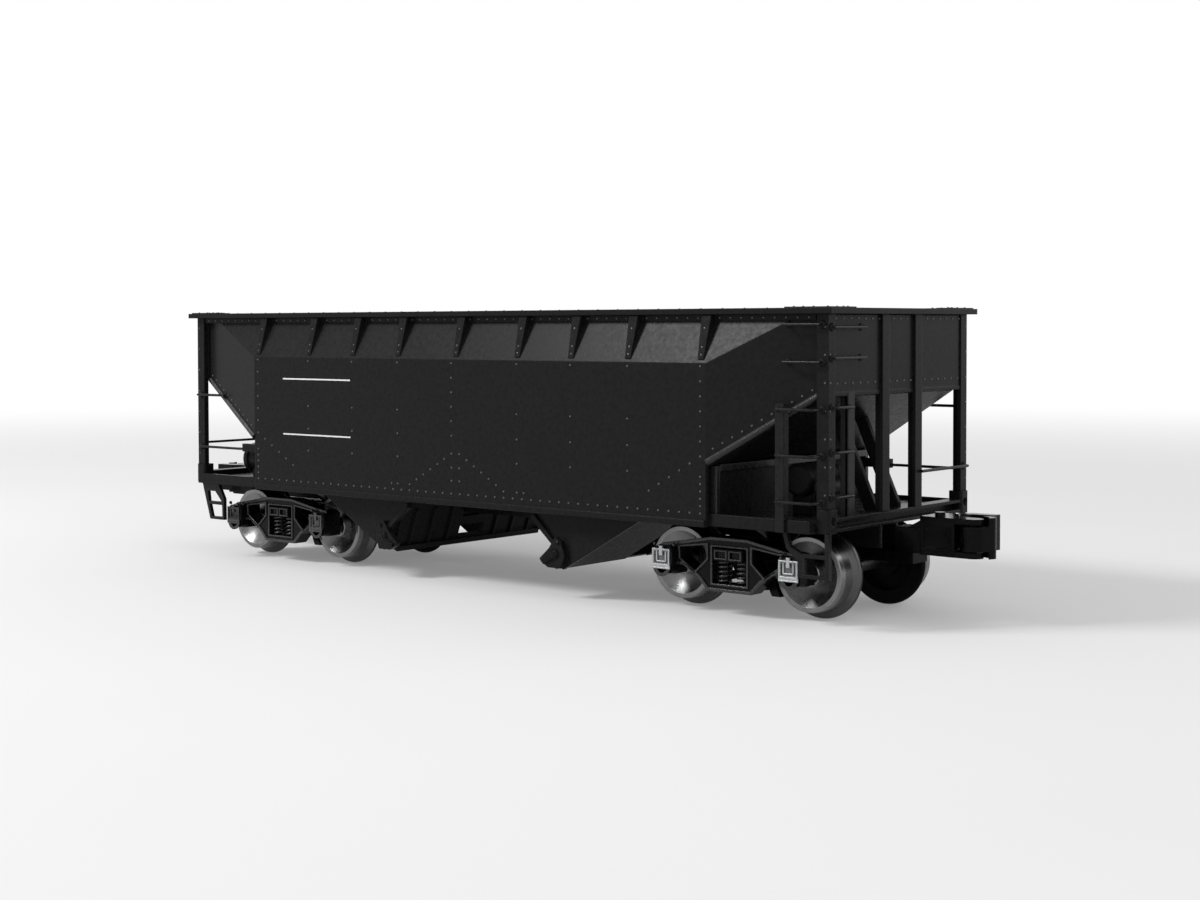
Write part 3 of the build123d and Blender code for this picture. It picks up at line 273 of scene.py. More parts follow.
class Piece:
    """A mesh that gathers points in millimetres."""

    def __init__(self):
        self.points = []
        self.faces = []

    def add(self, points, faces):
        first = len(self.points)
        self.points += [tuple(p) for p in points]
        self.faces += [tuple(first + i for i in face) for face in faces]

    def dome(self, spot, out, radius=0.28, height=0.2, sides=10):
        """A rivet or bolt head standing on a face."""
        out = Vector(out).normalized()
        side = out.orthogonal().normalized()
        other = out.cross(side)
        spot = Vector(spot)
        points = []
        for wide, up in HEAD_RINGS:
            for c, s in circle(sides):
                points.append(spot + out * (up * height) + (side * c + other * s) * wide * radius)
        points.append(spot + out * height)
        top = (len(HEAD_RINGS) - 1) * sides
        faces = [tuple(reversed(range(sides)))]
        faces += bands(len(HEAD_RINGS), sides)
        faces += [(top + k, top + (k + 1) % sides, len(points) - 1) for k in range(sides)]
        self.add(points, faces)

    def bar(self, first, last, across, up, wide, tall, chamfer=0.12):
        """A chamfered bar between two points, wide along across and tall along up."""
        first, last = Vector(first), Vector(last)
        across, up = Vector(across).normalized(), Vector(up).normalized()
        w, t, c = wide / 2, tall / 2, chamfer
        outline = ((-w + c, -t), (w - c, -t), (w, -t + c), (w, t - c),
                   (w - c, t), (-w + c, t), (-w, t - c), (-w, -t + c))
        points = [end + across * a + up * b for end in (first, last) for a, b in outline]
        n = len(outline)
        self.add(points, bands(2, n) + [tuple(reversed(range(n))), tuple(range(n, 2 * n))])

    def tube(self, path, radius, sides=8):
        """A round wire along a run of points."""
        path = [Vector(p) for p in path]
        points = []
        up = (path[1] - path[0]).orthogonal().normalized()
        for k, spot in enumerate(path):
            ahead = (path[min(k + 1, len(path) - 1)] - path[max(k - 1, 0)]).normalized()
            up = (up - ahead * up.dot(ahead)).normalized()
            other = ahead.cross(up)
            points += [spot + (up * c + other * s) * radius for c, s in circle(sides)]
        last = (len(path) - 1) * sides
        ends = [tuple(reversed(range(sides))), tuple(range(last, last + sides))]
        self.add(points, bands(len(path), sides) + ends)

    def rim(self, outline, lay, wide, tall, chamfer=0.1):
        """A raised mitred rim along a closed outline; lay puts (along, up, out) in place."""
        count = len(outline)
        shifts = []
        for k in range(count):
            before, here, after = (Vector(outline[(k + n) % count]) for n in (-1, 0, 1))
            first, second = (here - before).normalized(), (after - here).normalized()
            left, right = Vector((-first.y, first.x)), Vector((-second.y, second.x))
            shifts.append((left + right) / (1 + left.dot(right)))
        c = math.copysign(chamfer, wide)
        loops = ((0, RIM_ROOT), (0, tall - chamfer), (c, tall), (wide - c, tall), (wide, tall - chamfer),
                 (wide, RIM_ROOT))
        points = []
        for over, out in loops:
            for spot, shift in zip(outline, shifts):
                flat = Vector(spot) + shift * over
                points.append(lay(flat.x, flat.y, out))
        self.add(points, bands(len(loops), count, closed=True))

    def lathe(self, profile, place, sides=72):
        """A closed profile of (radius, across) turned about a line along y."""
        x, z = place
        points = []
        for c, s in circle(sides):
            points += [(x + r * c, y, z + r * s) for r, y in profile]
        self.add(points, bands(sides, len(profile), closed=True))

    def half_turn(self):
        """Repeats everything turned half round the car's middle."""
        self.add([(-x, -y, z) for x, y, z in self.points], list(self.faces))

    def make(self, name, body, slot, look=None, smooth=35.0, stands_for=None):
        mesh = bpy.data.meshes.new(name)
        mesh.from_pydata([tuple(c / PER_METRE for c in point) for point in self.points], [], self.faces)
        shape = bmesh.new()
        shape.from_mesh(mesh)
        bmesh.ops.recalc_face_normals(shape, faces=shape.faces)
        shape.to_mesh(mesh)
        shape.free()
        mesh.materials.append(look or LOOKS[slot])
        piece = bpy.data.objects.new(name, mesh)
        scene.collection.objects.link(piece)
        if smooth:
            mesh.shade_smooth()
            mesh.set_sharp_from_angle(angle=math.radians(smooth))
        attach(piece, body)
        if stands_for:
            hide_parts(stands_for)
        return piece


# Rivets of the near side and end; the others are the same, turned half round
STAKE_ROW, MID_ROW, BAND_ROW = (56.6, 44.5, 38.4, 32.5), (34.0, 30.5, 27.2), (59.3, 61.0, 65.2)
LAST_HIGH, LAST_LOW = (56.8, 36.7, 3.35), (32.2, 24.0, 1.65)
MID_HIGH = (56.6, 38.5, 3.6)
PEAK_RUN, PEAK_FALL, PEAK_COUNT = 2.48, 1.41, 6
FOOT_PAIR, FOOT_PAIR_Z, FOOT_Z = (20.6, 22.8), 25.5, 24.0
LINE_X, LINE_Z = 61.0, 28.3
SIDE_STEP, SLOPE_STEP, PANEL_STEP = 2.95, 2.9, 2.36
LEG_ROW_Z, SHEET_ROW_Z, SHEET_FOOT_RISE = 67.55, 67.3, 3.0
SHEET_HEAD_ROW, SHEET_FOOT_ROW = (-27.0, 27.0, 3.0), (-26.5, 26.5, 3.1)
CHORD_ROW, CHORD_INSET = (-90, 90, 6.0), 1.0
POST_ROW, POST_INSET_X, POST_INSET_Y = (29.5, 65.5, 6.0), 0.8, 0.7
MEDIUM, SMALL, LOW_HEAD = 0.26, 0.24, 0.16
STAKE_FOOT_Y, STAKE_FOOT_Z, STAKE_HEAD_Y = PANEL_Y - 0.1, BEND_Z + 0.8, CHORD_Y - 0.5
BAND_OUT = (0, -1, 0.23)
PLATE_EDGE, PLATE_TOP = 0.2, TOP_Z + 0.25
PLATE_ROW = ((10.6, 2.0), (8.2, 2.0), (5.6, 2.0), (2.0, 2.0), (2.0, 5.6), (2.0, 8.2), (2.0, 10.0))
panel_out = Vector((PANEL_Y - SHEET_END_Y, -(SHEET_END_X - PANEL_X), 0))


def slope_line(x):
    """Height of the rivets that hold the slope sheet to the side."""
    return LINE_Z + (x - LINE_X) * SLOPE


rivets = Piece()
for sign in BOTH:
    for x in STAKES:
        for z in STAKE_ROW:
            rivets.dome((sign * x, -PANEL_Y, z), NEAR)
    for z in spread(*LAST_HIGH) + spread(*LAST_LOW):
        rivets.dome((sign * LAST_STAKE, -PANEL_Y, z), NEAR)
    for z in MID_ROW:
        rivets.dome((sign * MID_PAIR, -PANEL_Y, z), NEAR)
    for k in range(1, PEAK_COUNT + 1):
        rivets.dome((sign * (MID_PAIR + PEAK_RUN * k), -PANEL_Y, MID_ROW[0] - PEAK_FALL * k), NEAR)
    for x in FOOT_PAIR:
        rivets.dome((sign * x, -PANEL_Y, FOOT_PAIR_Z), NEAR)
    for x in spread(LINE_X, LAST_STAKE - SLOPE_STEP, SLOPE_STEP):
        rivets.dome((sign * x, -PANEL_Y, slope_line(x)), NEAR)
    for x in spread(PANEL_X + 1.7, SHEET_END_X - 1.6, PANEL_STEP):
        rivets.dome((sign * x, -panel_face(x), slope_line(x)), (sign * panel_out.x, panel_out.y, 0))
for z in spread(*MID_HIGH):
    rivets.dome((-MID_PAIR, -PANEL_Y, z), NEAR)
for x in spread(-LAST_STAKE + SLOPE_STEP, LAST_STAKE - SLOPE_STEP, SIDE_STEP):
    rivets.dome((x, -PANEL_Y, FOOT_Z), NEAR)
for x in spread(-SHEET_END_X + 1.7, SHEET_END_X - 1.7, SIDE_STEP):
    rivets.dome((x, -LEG_Y, LEG_ROW_Z), NEAR, radius=MEDIUM)
for x in (-LAST_STAKE, *(-s for s in STAKES), 0.0, *STAKES, LAST_STAKE):
    for z in BAND_ROW:
        up = (z - STAKE_FOOT_Z) / (CHORD_Z - STAKE_FOOT_Z)
        y = STAKE_FOOT_Y - up * (STAKE_FOOT_Y - STAKE_HEAD_Y)
        rivets.dome((x, -y, z), BAND_OUT, radius=SMALL, height=LOW_HEAD)
for z in spread(*POST_ROW):
    for sign in BOTH:
        rivets.dome((sign * (POST_X - POST_INSET_X), -POST_Y, z), NEAR, radius=MEDIUM)
        rivets.dome((POST_X, sign * (POST_Y - POST_INSET_Y), z), ALONG, radius=MEDIUM)
for y in spread(*SHEET_HEAD_ROW):
    rivets.dome((SKIN_X, y, SHEET_ROW_Z), ALONG, radius=MEDIUM)
for y in spread(*SHEET_FOOT_ROW):
    rivets.dome((SKIN_X, y, under_slope(END_FACE) + SHEET_FOOT_RISE), ALONG, radius=SMALL)
for sign in BOTH:
    for x, y in PLATE_ROW:
        spot = (CHORD_X - PLATE_EDGE - x, sign * (CHORD_Y - PLATE_EDGE - y), PLATE_TOP)
        rivets.dome(spot, UP, radius=MEDIUM)
for x in spread(*CHORD_ROW):
    rivets.dome((x, -LEG_Y + CHORD_INSET, TOP_Z), UP, radius=SMALL, height=LOW_HEAD)
rivets.half_turn()
rivets.make("rivet_heads", "car", "body_paint", look=RIVET_HIGHLIGHT)

# Bosses at the feet of hand grabs and rungs
PANEL_BOSS = {"radius": 0.85, "height": 0.55}
SHEET_BOSS = {"radius": 0.85, "height": 0.5}
POST_BOSS = {"radius": 0.95, "height": 0.65}
END_BOSS = {"radius": 0.95, "height": 0.6}
RUNG_Z, BOSS_STEP = SILL_TOP + 3.9, 9.95
END_RUNG_Z, END_RUNG_STEP = 29.0, 9.6
UPPER_GRABS, END_GRABS = (CHORD_Z - 2.3, CHORD_Z - 10.4), (CHORD_Z - 2.9, CHORD_Z - 9.5)
LEFT_GRAB_Z, LOW_GRAB_Z, END_LOW_Z = SILL_TOP + 22.4, SILL_TOP + 7.5, SILL_TOP + 8.4
SHEET_GRAB_Y = 17.0
RUNGS = 3
bosses = Piece()
for z in UPPER_GRABS:
    bosses.dome((STILE_X, -panel_face(STILE_X), z), panel_out, **PANEL_BOSS)
    bosses.dome((GRAB_X, -POST_Y, z), NEAR, **POST_BOSS)
for k in range(RUNGS):
    bosses.dome((GRAB_X, -POST_Y, RUNG_Z + BOSS_STEP * k), NEAR, **POST_BOSS)
    bosses.dome((POST_X, -END_GRAB_Y, END_RUNG_Z + END_RUNG_STEP * k), ALONG, **END_BOSS)
for z in END_GRABS:
    bosses.dome((POST_X, -END_GRAB_Y, z), ALONG, **END_BOSS)
    bosses.dome((SKIN_X, -SHEET_GRAB_Y, z), ALONG, **SHEET_BOSS)
far_panel = (LEFT_GRAB_X, panel_face(LEFT_GRAB_X), LEFT_GRAB_Z)
bosses.dome(far_panel, (panel_out.x, -panel_out.y, 0), **SHEET_BOSS)
for z in (LEFT_GRAB_Z, LOW_GRAB_Z):
    bosses.dome((GRAB_X, POST_Y, z), ACROSS, **POST_BOSS)
bosses.dome((POST_X, END_GRAB_Y, END_LOW_Z), ALONG, **END_BOSS)
bosses.half_turn()
bosses.make("grab_bosses", "car", "body_paint")

# Lips along the slanting panel edges, bulkhead flanges, and the angle where bulkhead and slope sheet meet
LIP_RISE, LIP_END, LIP_WIDE, LIP_TALL, LIP_ROUND = 1.1, 0.2, 1.2, 1.5, 0.42
EDGE_X, EDGE_Y, EDGE_TOP = PANEL_X + 0.9, 31.6, CUT_Z + 0.2
ANGLE_X, ANGLE_Y, ANGLE_Z = PANEL_X + 1.1, 31.0, CUT_Z - 0.3
EDGE_BAR, ANGLE_BAR = (1.4, 1.3), (1.4, 1.7)
trim = Piece()
for side in (-1, 1):
    low_x, high_x = PANEL_X + LIP_END, SHEET_END_X - LIP_END
    low = Vector((low_x, side * panel_face(low_x), under_slope(PANEL_X) + LIP_RISE))
    high = Vector((high_x, side * panel_face(high_x), under_slope(SHEET_END_X) + LIP_RISE))
    out = Vector((panel_out.x, -side * panel_out.y, 0)).normalized()
    trim.bar(low, high, out, (high - low).normalized().cross(out), LIP_WIDE, LIP_TALL, chamfer=LIP_ROUND)
    foot, head = (EDGE_X, side * EDGE_Y, DECK_TOP), (EDGE_X, side * EDGE_Y, EDGE_TOP)
    trim.bar(foot, head, ALONG, ACROSS, *EDGE_BAR)
trim.bar((ANGLE_X, -ANGLE_Y, ANGLE_Z), (ANGLE_X, ANGLE_Y, ANGLE_Z), ALONG, UP, *ANGLE_BAR)
trim.half_turn()
trim.make("edge_angles", "car", "body_paint", look=PAINTED_HIGHLIGHT_LIP, smooth=20.0)

# End sheets filled out to just behind the posts, with a turned lip at the foot
FOOT_LIP, FOOT_LIP_TALL, SHEET_ROUND = 0.3, 1.0, 0.2
skin_back = END_FACE - 0.1
skin_x, skin_z = (skin_back + SKIN_X) / 2, (SKIN_LOW + CHORD_Z) / 2
skin_thick, skin_tall = SKIN_X - skin_back, CHORD_Z - SKIN_LOW
lip_z = SKIN_LOW + FOOT_LIP_TALL / 2
skins = Piece()
skins.bar((skin_x, -SKIN_Y, skin_z), (skin_x, SKIN_Y, skin_z), ALONG, UP, skin_thick, skin_tall,
          chamfer=SHEET_ROUND)
skins.bar((SKIN_X, -SKIN_Y, lip_z), (SKIN_X, SKIN_Y, lip_z), ALONG, UP, FOOT_LIP, FOOT_LIP_TALL)
skins.half_turn()
skins.make("end_sheet_faces", "car", "body_paint", smooth=20.0)

# Flange of the sill angle along the foot of each side panel
FLANGE_TOP, FLANGE_THICK = 22.6, 0.6
flange_x, flange_y = LAST_STAKE + 1.2, PANEL_Y + 0.05
flange_z = (PANEL_BOTTOM + FLANGE_TOP) / 2
flange = Piece()
flange.bar((-flange_x, -flange_y, flange_z), (flange_x, -flange_y, flange_z), ACROSS, UP, FLANGE_THICK,
           FLANGE_TOP - PANEL_BOTTOM, chamfer=SHEET_ROUND)
flange.half_turn()
flange.make("sill_flanges", "car", "body_paint", smooth=20.0)

# Door latches on the hopper lugs: pivot nut, stop bolt and pawl
LUG_X, LUG_Y, LUG_Z = 29.6, 30.7, 11.0
LUG_NUT = {"radius": 1.3, "height": 0.7, "sides": 12}
STOP_BOLT = {"radius": 0.6, "height": 0.45, "sides": 6}
PIVOT, STOP, PAWL_HEEL, PAWL_TOE = (0.0, 0.0), (1.0, 2.8), (-0.3, -0.6), (-3.6, -2.2)
PAWL_OUT, PAWL_UP, PAWL_BAR = 0.2, (-0.44, 0, 0.9), (0.7, 1.1)


def on_lug(side, spot, out=0.0):
    """Puts (along, up) from the pivot on a lug's outer face."""
    along, up = spot
    return (LUG_X + along, side * (LUG_Y + out), LUG_Z + up)


latches = Piece()
for side in BOTH:
    face = (0, side, 0)
    latches.dome(on_lug(side, PIVOT), face, **LUG_NUT)
    latches.dome(on_lug(side, STOP), face, **STOP_BOLT)
    heel, toe = on_lug(side, PAWL_HEEL, PAWL_OUT), on_lug(side, PAWL_TOE, PAWL_OUT)
    latches.bar(heel, toe, face, PAWL_UP, *PAWL_BAR)
latches.half_turn()
latches.make("latch_irons", "car", "body_paint", look=LOOKS["truck_casting"], smooth=30.0)


# Ladders with rounded bends and a foot at each rung, in place of the plain ones
def eased(corners, radius=0.6, steps=4):
    """A run of points with its inner corners rounded."""
    corners = [Vector(c) for c in corners]
    run = [corners[0]]
    for before, here, after in zip(corners, corners[1:], corners[2:]):
        into, away = (before - here).normalized() * radius, (after - here).normalized() * radius
        for k in range(steps + 1):
            t = k / steps
            run.append(here + into * (1 - t) ** 2 + away * t ** 2)
    return run + [corners[-1]]


def upright(piece, x, y, low, high, across, up, wide, tall):
    """A bar that stands upright."""
    piece.bar((x, y, low), (x, y, high), across, up, wide, tall)


STILE_Y, STILE_TOP, STILE_LEG_X, STILE_LEG_Y = 33.4, 48.9, STILE_X + 0.8, 32.5
END_STILE_X, END_STILE_Y, END_STILE_TOP = POST_X - 0.5, 21.0, 51.4
END_LEG_X, END_FOOT_Y = 105.3, 22.0
STILE_BAR, STILE_LEG, END_STILE_BAR, END_STILE_LEG = (2.3, 0.8), (0.7, 1.4), (2.8, 0.8), (0.8, 1.9)
RUNG_STEP, RUNG_OUT, END_RUNG_OUT, RUNG_R = 9.96, 34.8, POST_X + 1.3, 0.35
RUNG_FOOT_X, RUNG_FOOT_Y = STILE_X - 0.5, STILE_Y + STILE_BAR[1] / 2
RUNG_FOOT = {"radius": 0.65, "height": 0.5}
for end, sign in ENDS:
    irons = Piece()
    upright(irons, STILE_X, -STILE_Y, SILL_LOW, STILE_TOP, ALONG, ACROSS, *STILE_BAR)
    upright(irons, STILE_LEG_X, -STILE_LEG_Y, SILL_TOP, STILE_TOP, ALONG, ACROSS, *STILE_LEG)
    upright(irons, END_STILE_X, -END_STILE_Y, END_SILL_TOP, END_STILE_TOP, ACROSS, ALONG, *END_STILE_BAR)
    upright(irons, END_LEG_X, -END_FOOT_Y, END_SILL_TOP, END_STILE_TOP, ACROSS, ALONG, *END_STILE_LEG)
    for k in range(RUNGS):
        z = RUNG_Z + RUNG_STEP * k
        bends = [(RUNG_FOOT_X, -STILE_Y + 0.2, z), (RUNG_FOOT_X, -RUNG_OUT, z),
                 (GRAB_X, -RUNG_OUT, z), (GRAB_X, -POST_Y, z)]
        irons.tube(eased(bends), RUNG_R)
        irons.dome((RUNG_FOOT_X, -RUNG_FOOT_Y, z), NEAR, **RUNG_FOOT)
        z = END_RUNG_Z + END_RUNG_STEP * k
        bends = [(POST_X - 0.3, -END_FOOT_Y, z), (END_RUNG_OUT, -END_FOOT_Y, z),
                 (END_RUNG_OUT, -END_GRAB_Y, z), (POST_X, -END_GRAB_Y, z)]
        irons.tube(eased(bends), RUNG_R)
        irons.dome((POST_X - 0.1, -END_FOOT_Y, z), ALONG, **RUNG_FOOT)
    irons.points = [(sign * x, sign * y, z) for x, y, z in irons.points]
    irons.make("ladder_irons_" + end, "car", "wire_black", smooth=40.0, stands_for="ladders_" + end)

# White stripes above and below the number place
STRIPE_FROM, STRIPE_TO, STRIPE_ROWS = -65.0, -38.3, (51.7, 36.7)
STRIPE_TALL, STRIPE_THICK = 0.38, 0.03
stripe_y = -PANEL_Y - 0.012
stripes = Piece()
for z in STRIPE_ROWS:
    stripes.bar((STRIPE_FROM, stripe_y, z), (STRIPE_TO, stripe_y, z), ACROSS, UP, STRIPE_THICK, STRIPE_TALL,
                chamfer=0.01)
stripes.half_turn()
stripes.make("number_stripes", "car", "body_paint", look=STRIPE, smooth=0)

# Wound springs in place of the plain ones
COIL_R, COIL_WIRE, COIL_TURNS, COIL_STEPS = 1.38, 0.3, 5.5, 18
FLAT_SHARE, RISE_SHARE = 0.09, 0.82


def coil(x, y):
    """The line of a wound spring, with flat turns at both ends."""
    run = []
    for k in range(int(COIL_TURNS * COIL_STEPS) + 1):
        t = k / (COIL_TURNS * COIL_STEPS)
        a = 2 * math.pi * COIL_TURNS * t
        rise = min(max((t - FLAT_SHARE) / RISE_SHARE, 0.0), 1.0)
        z = SPRING_LOW + COIL_WIRE + (SPRING_HIGH - SPRING_LOW - 2 * COIL_WIRE) * rise
        run.append((x + COIL_R * math.cos(a), y + COIL_R * math.sin(a), z))
    return run


for end, sign in ENDS:
    coils = Piece()
    for sx in BOTH:
        for sy in BOTH:
            coils.tube(coil(sign * TRUCK_X + sx * SPRING_X, sy * SPRING_Y), COIL_WIRE)
    coils.make("coil_springs_" + end, "truck_" + end, "spring_steel", smooth=50.0,
               stands_for="springs_" + end)

# Cast detail of the trucks, seen from outside: (along, up) from the truck's middle at axle height
BOX_HALF = 2.6
HALF_FRAME = (
    (6.0, -5.0), (8.7, -2.2), (HALF_BASE - 4.8, 0.3),
    (HALF_BASE - BOX_HALF, 0.3), (HALF_BASE - BOX_HALF, -1.9),
    (HALF_BASE + BOX_HALF, -1.9), (HALF_BASE + BOX_HALF, 4.2),
    (HALF_BASE + 1.0, 5.1), (HALF_BASE - 2.2, 5.5), (5.0, 7.4),
)
WINDOW = ((6.3, 2.2), (9.6, -0.8), (HALF_BASE - 3.8, 2.0), (HALF_BASE - 3.6, 4.4), (6.3, 5.4))
FRAME_RIM, WINDOW_RIM, PANEL_RIM = (0.75, 0.4), (-0.5, 0.4), (0.4, 0.25)
OPENING_RIM, LID_RIM, LID_LIP = (-0.5, 0.3), (0.45, 0.15), (0.44, 0.1)
PANEL_GAP = 0.2
FOOT_HALF, FOOT_LOW, FOOT_DROP, FOOT_TOP, FOOT_RIM = 2.4, -2.3, 2.2, -1.7, (2.0, -0.35)
BOLT_ACROSS, BOLT_UP, BOLT_IN = 2.75, 2.9, -1.5
BOX_BOLT = {"radius": 0.5, "height": 0.6, "sides": 6}
LIP_LOW, LIP_HIGH = -2.75, -1.85
CUP_HALF, CUP_TOP, CUP_FOOT, CUP_IN, CUP_BAR = 1.3, 1.4, -1.0, -0.2, (0.5, 0.42)
HINGE_LOW, HINGE_TOP, HINGE_IN, HINGE_BAR = 0.4, 2.6, -0.1, (0.6, 1.0)


def on_truck(sign, side, face, level):
    """Gives what puts (along, up, out) on an upright face of a truck."""
    def lay(x, z, out):
        return (sign * TRUCK_X + x, side * (face + out), level + z)
    return lay


def oblong(left, low, right, high):
    return [(left, low), (right, low), (right, high), (left, high)]


def side_castings(piece, sign, side):
    """Rims round the frame, its windows and spring opening, and the panels on the bolster's end."""
    on_frame = on_truck(sign, side, FRAME_OUT, AXLE_Z)
    on_bolster = on_truck(sign, side, BOLSTER_END, 0.0)
    piece.rim([*HALF_FRAME, *((-x, z) for x, z in reversed(HALF_FRAME))], on_frame, *FRAME_RIM)
    piece.rim(WINDOW, on_frame, *WINDOW_RIM)
    piece.rim([(-x, z) for x, z in reversed(WINDOW)], on_frame, *WINDOW_RIM)
    hole = oblong(-OPENING / 2, SPRING_LOW - AXLE_Z, OPENING / 2, OPENING_TOP - AXLE_Z)
    piece.rim(hole, on_frame, *OPENING_RIM)
    reach = BOLSTER_WIDE / 2 - PANEL_GAP
    for near, far in ((-reach, -PANEL_GAP), (PANEL_GAP, reach)):
        panel = oblong(near, SPRING_HIGH + PANEL_GAP, far, BOLSTER_TOP - PANEL_GAP)
        piece.rim(panel, on_bolster, *PANEL_RIM)


def box_castings(piece, box, on_lid, side):
    """The rounded foot of a journal box and the bolts above it."""
    foot = [(box + FOOT_HALF * math.cos(a), FOOT_LOW + FOOT_DROP * math.sin(a))
            for a in spread(-math.pi, 0.0, 0.26)]
    piece.rim(foot + [(box + FOOT_HALF, FOOT_TOP), (box - FOOT_HALF, FOOT_TOP)], on_lid, *FOOT_RIM)
    for across in (-BOLT_ACROSS, BOLT_ACROSS):
        piece.dome(on_lid(box + across, BOLT_UP, BOLT_IN), (0, side, 0), **BOX_BOLT)


def lid_ribs(piece, box, on_lid):
    """The raised edge, lip, cup and hinge of a journal lid."""
    plate = oblong(box - LID_WIDE / 2, -LID_TALL / 2, box + LID_WIDE / 2, LID_TALL / 2)
    piece.rim(plate, on_lid, *LID_RIM)
    piece.rim(oblong(box - BOX_HALF, LIP_LOW, box + BOX_HALF, LIP_HIGH), on_lid, *LID_LIP)
    cup = [(box - CUP_HALF, CUP_TOP), (box - CUP_HALF, CUP_FOOT), (box + CUP_HALF, CUP_FOOT),
           (box + CUP_HALF, CUP_TOP)]
    for first, last in zip(cup, cup[1:]):
        over = (last[1] - first[1], 0, last[0] - first[0])
        piece.bar(on_lid(*first, CUP_IN), on_lid(*last, CUP_IN), ACROSS, over, *CUP_BAR)
    low, high = on_lid(box, HINGE_LOW, HINGE_IN), on_lid(box, HINGE_TOP, HINGE_IN)
    piece.bar(low, high, ACROSS, ALONG, *HINGE_BAR)


for end, sign in ENDS:
    castings, lids = Piece(), Piece()
    for side in BOTH:
        on_lid = on_truck(sign, side, LID_OUT, LID_Z)
        side_castings(castings, sign, side)
        for box in (HALF_BASE, -HALF_BASE):
            box_castings(castings, box, on_lid, side)
            lid_ribs(lids, box, on_lid)
    # Rims take the lighter, painted-highlight finish
    castings.make("frame_castings_" + end, "truck_" + end, "truck_casting", look=CAST_EDGE_HIGHLIGHT, smooth=30.0)
    # Truck b's lid ribs take the darker, painted-shade copy of the silver
    lid_look = LOOKS["lid_silver"] if end == "a" else LID_PAINTED_SHADE
    lids.make("lid_ribs_" + end, "truck_" + end, "lid_silver", look=lid_look, smooth=30.0)

# Wheels with a smooth dished face in place of the plain ones
HUB_R, DISH_FROM, DISH_TO, DISH_DEEP = 2.6, 2.9, 7.4, 2.7
FLANGE_ROUND, FLANGE_HALF = 0.6, 0.7


def wheel_profile():
    """Radius and distance across, from the bore's face round rim, tread and flange to the back."""
    face = [(AXLE_R, WHEEL_FACE), (HUB_R, WHEEL_FACE), (HUB_R + 0.2, WHEEL_FACE - 0.2)]
    dish = [(r, WHEEL_FACE - DISH_DEEP * (1 - (r / DISH_TO) ** 2)) for r in spread(DISH_FROM, DISH_TO, 0.3)]
    tread = [(TREAD_R - 0.4, WHEEL_FACE), (TREAD_R - 0.18, WHEEL_FACE - 0.2), (TREAD_R, WHEEL_BACK + 2.7),
             (TREAD_R + 0.25, WHEEL_BACK + 2.1)]
    core = FLANGE_R - FLANGE_ROUND
    tip = [(core + FLANGE_ROUND * math.sin(a), WHEEL_BACK + FLANGE_HALF * (1 - math.cos(a)))
           for a in spread(0.0, math.pi, 0.4)]
    back = [(TREAD_R - 1.5, WHEEL_BACK), (TREAD_R - 1.9, WHEEL_BACK + 2.2), (HUB_R + 1.0, WHEEL_BACK + 1.8),
            (HUB_R + 0.8, WHEEL_BACK + 0.2), (AXLE_R, WHEEL_BACK + 0.2)]
    return face + dish + tread + tip[::-1] + back


for end, sign in ENDS:
    for number, place in ((1, 1), (2, -1)):
        turned = Piece()
        for side in BOTH:
            profile = [(r, side * y) for r, y in wheel_profile()]
            turned.lathe(profile, (sign * (TRUCK_X + place * HALF_BASE), AXLE_Z))
        name = end + str(number)
        turned.make("turned_wheels_" + name, "wheelset_" + name, "wheel_steel", smooth=25.0,
                    stands_for="wheels_" + name)

# Camera, fitted to the photo's frame
IMAGE_WIDE, IMAGE_HIGH, SENSOR = 1200.0, 900.0, 36.0
FOCAL, CENTRE_X, CENTRE_Y = 1815.0, 571.6, 380.3
TURN, DIP, ROLL = 40.35, 1.70, -0.15
STAND = (0.3145, -0.3596, 0.0657)
lens = bpy.data.cameras.new("photo_camera")
camera = bpy.data.objects.new("photo_camera", lens)
scene.collection.objects.link(camera)
lens.sensor_width = SENSOR
lens.lens = FOCAL / IMAGE_WIDE * SENSOR
lens.shift_x = (IMAGE_WIDE / 2 - CENTRE_X) / IMAGE_WIDE
lens.shift_y = (CENTRE_Y - IMAGE_HIGH / 2) / IMAGE_WIDE
lens.clip_start = 0.01
lens.clip_end = 40.0
facing = Matrix.Rotation(math.radians(TURN), 4, "Z") @ Matrix.Rotation(math.radians(90.0 - DIP), 4, "X")
roll = Matrix.Rotation(math.radians(ROLL), 4, "Z")
camera.matrix_world = Matrix.Translation(STAND) @ facing @ roll
scene.camera = camera

# Studio: white surround, pale floor that keeps the shadow, soft lamps
WHITE = (1, 1, 1, 1)
SURROUND_LIGHT, SURROUND_SEEN = 0.6, 1.0
FLOOR_HALF, FLOOR_TONES, FLOOR_LIFT = 12, (0.60, 0.62), 0.2
FLOOR_ROUGH, SPECK_SCALE = 0.9, 300.0
FADE_FROM, FADE_TO = 0.25, 1.1
AIM = Vector((0, 0, 0.04))
LAMPS = (
    ("key", (-0.45, -0.61, 0.66), 0.24, 6.5),
    ("fill", (0.8, -0.2, 0.6), 0.5, 1.0),
    ("end", (0.6, 0.7, 0.35), 0.5, 1.0),
)


def combine(tree, operation, first, second):
    made = node(tree, "ShaderNodeMath", operation=operation)
    tree.links.new(first, made.inputs[0])
    tree.links.new(second, made.inputs[1])
    return made.outputs["Value"]


def seen_rays(tree):
    """One for rays that show the background: straight, in a reflection or through a clear thing."""
    rays = node(tree, "ShaderNodeLightPath").outputs
    mirrored = combine(tree, "MAXIMUM", rays["Is Glossy Ray"], rays["Is Transmission Ray"])
    return combine(tree, "MAXIMUM", rays["Is Camera Ray"], mirrored)


world = bpy.data.worlds.new("studio")
world.use_nodes = True
tree = world.node_tree
surround = tree.nodes["Background"]
surround.inputs["Color"].default_value = WHITE
level = node(tree, "ShaderNodeMapRange")
level.inputs["To Min"].default_value = SURROUND_LIGHT
level.inputs["To Max"].default_value = SURROUND_SEEN
tree.links.new(seen_rays(tree), level.inputs["Value"])
tree.links.new(level.outputs["Result"], surround.inputs["Strength"])
scene.world = world

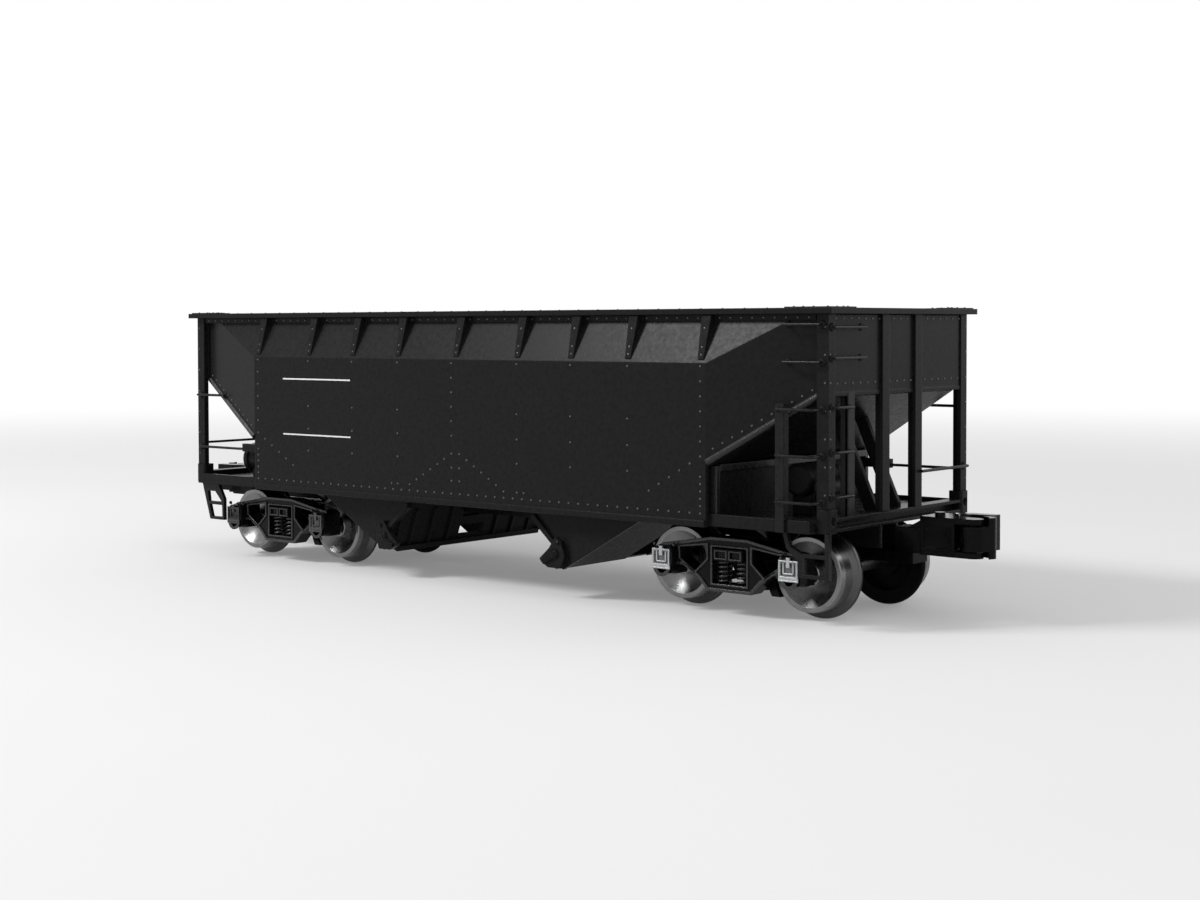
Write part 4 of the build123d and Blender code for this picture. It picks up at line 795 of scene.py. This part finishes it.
# Near the car the floor takes light and shadow; far from it, it runs out into the white surround
floor_mesh = bpy.data.meshes.new("floor")
corners = [(x * FLOOR_HALF, y * FLOOR_HALF, 0) for x, y in ((-1, -1), (1, -1), (1, 1), (-1, 1))]
floor_mesh.from_pydata(corners, [], [(0, 1, 2, 3)])
floor = bpy.data.objects.new("floor", floor_mesh)
scene.collection.objects.link(floor)
ground = bpy.data.materials.new("pale_floor")
ground.use_nodes = True
tree = ground.node_tree
surface = tree.nodes["Principled BSDF"]
surface.inputs["Roughness"].default_value = FLOOR_ROUGH
surface.inputs["Specular IOR Level"].default_value = 0.0
surface.inputs["Emission Color"].default_value = WHITE
speck = node(tree, "ShaderNodeTexNoise")
speck.inputs["Scale"].default_value = SPECK_SCALE
tint = node(tree, "ShaderNodeValToRGB")
for stop, tone in zip(tint.color_ramp.elements, FLOOR_TONES):
    stop.color = (tone, tone, tone, 1)
tree.links.new(speck.outputs["Fac"], tint.inputs["Fac"])
tree.links.new(tint.outputs["Color"], surface.inputs["Base Color"])
shown = seen_rays(tree)
lift = node(tree, "ShaderNodeMath", operation="MULTIPLY")
lift.inputs[1].default_value = FLOOR_LIFT
tree.links.new(shown, lift.inputs[0])
tree.links.new(lift.outputs["Value"], surface.inputs["Emission Strength"])
place = node(tree, "ShaderNodeTexCoord")
away = node(tree, "ShaderNodeVectorMath", operation="LENGTH")
tree.links.new(place.outputs["Object"], away.inputs[0])
fade = node(tree, "ShaderNodeMapRange", interpolation_type="SMOOTHSTEP")
fade.inputs["From Min"].default_value = FADE_FROM
fade.inputs["From Max"].default_value = FADE_TO
tree.links.new(away.outputs["Value"], fade.inputs["Value"])
white = node(tree, "ShaderNodeEmission")
blend = node(tree, "ShaderNodeMixShader")
tree.links.new(combine(tree, "MULTIPLY", fade.outputs["Result"], shown), blend.inputs["Fac"])
tree.links.new(surface.outputs["BSDF"], blend.inputs[1])
tree.links.new(white.outputs["Emission"], blend.inputs[2])
tree.links.new(blend.outputs["Shader"], tree.nodes["Material Output"].inputs["Surface"])
floor_mesh.materials.append(ground)

for name, spot, wide, power in LAMPS:
    light = bpy.data.lights.new(name, "AREA")
    light.size = wide
    light.energy = power
    lamp = bpy.data.objects.new(name, light)
    scene.collection.objects.link(lamp)
    lamp.location = spot
    lamp.rotation_euler = (AIM - Vector(spot)).to_track_quat("-Z", "Y").to_euler()
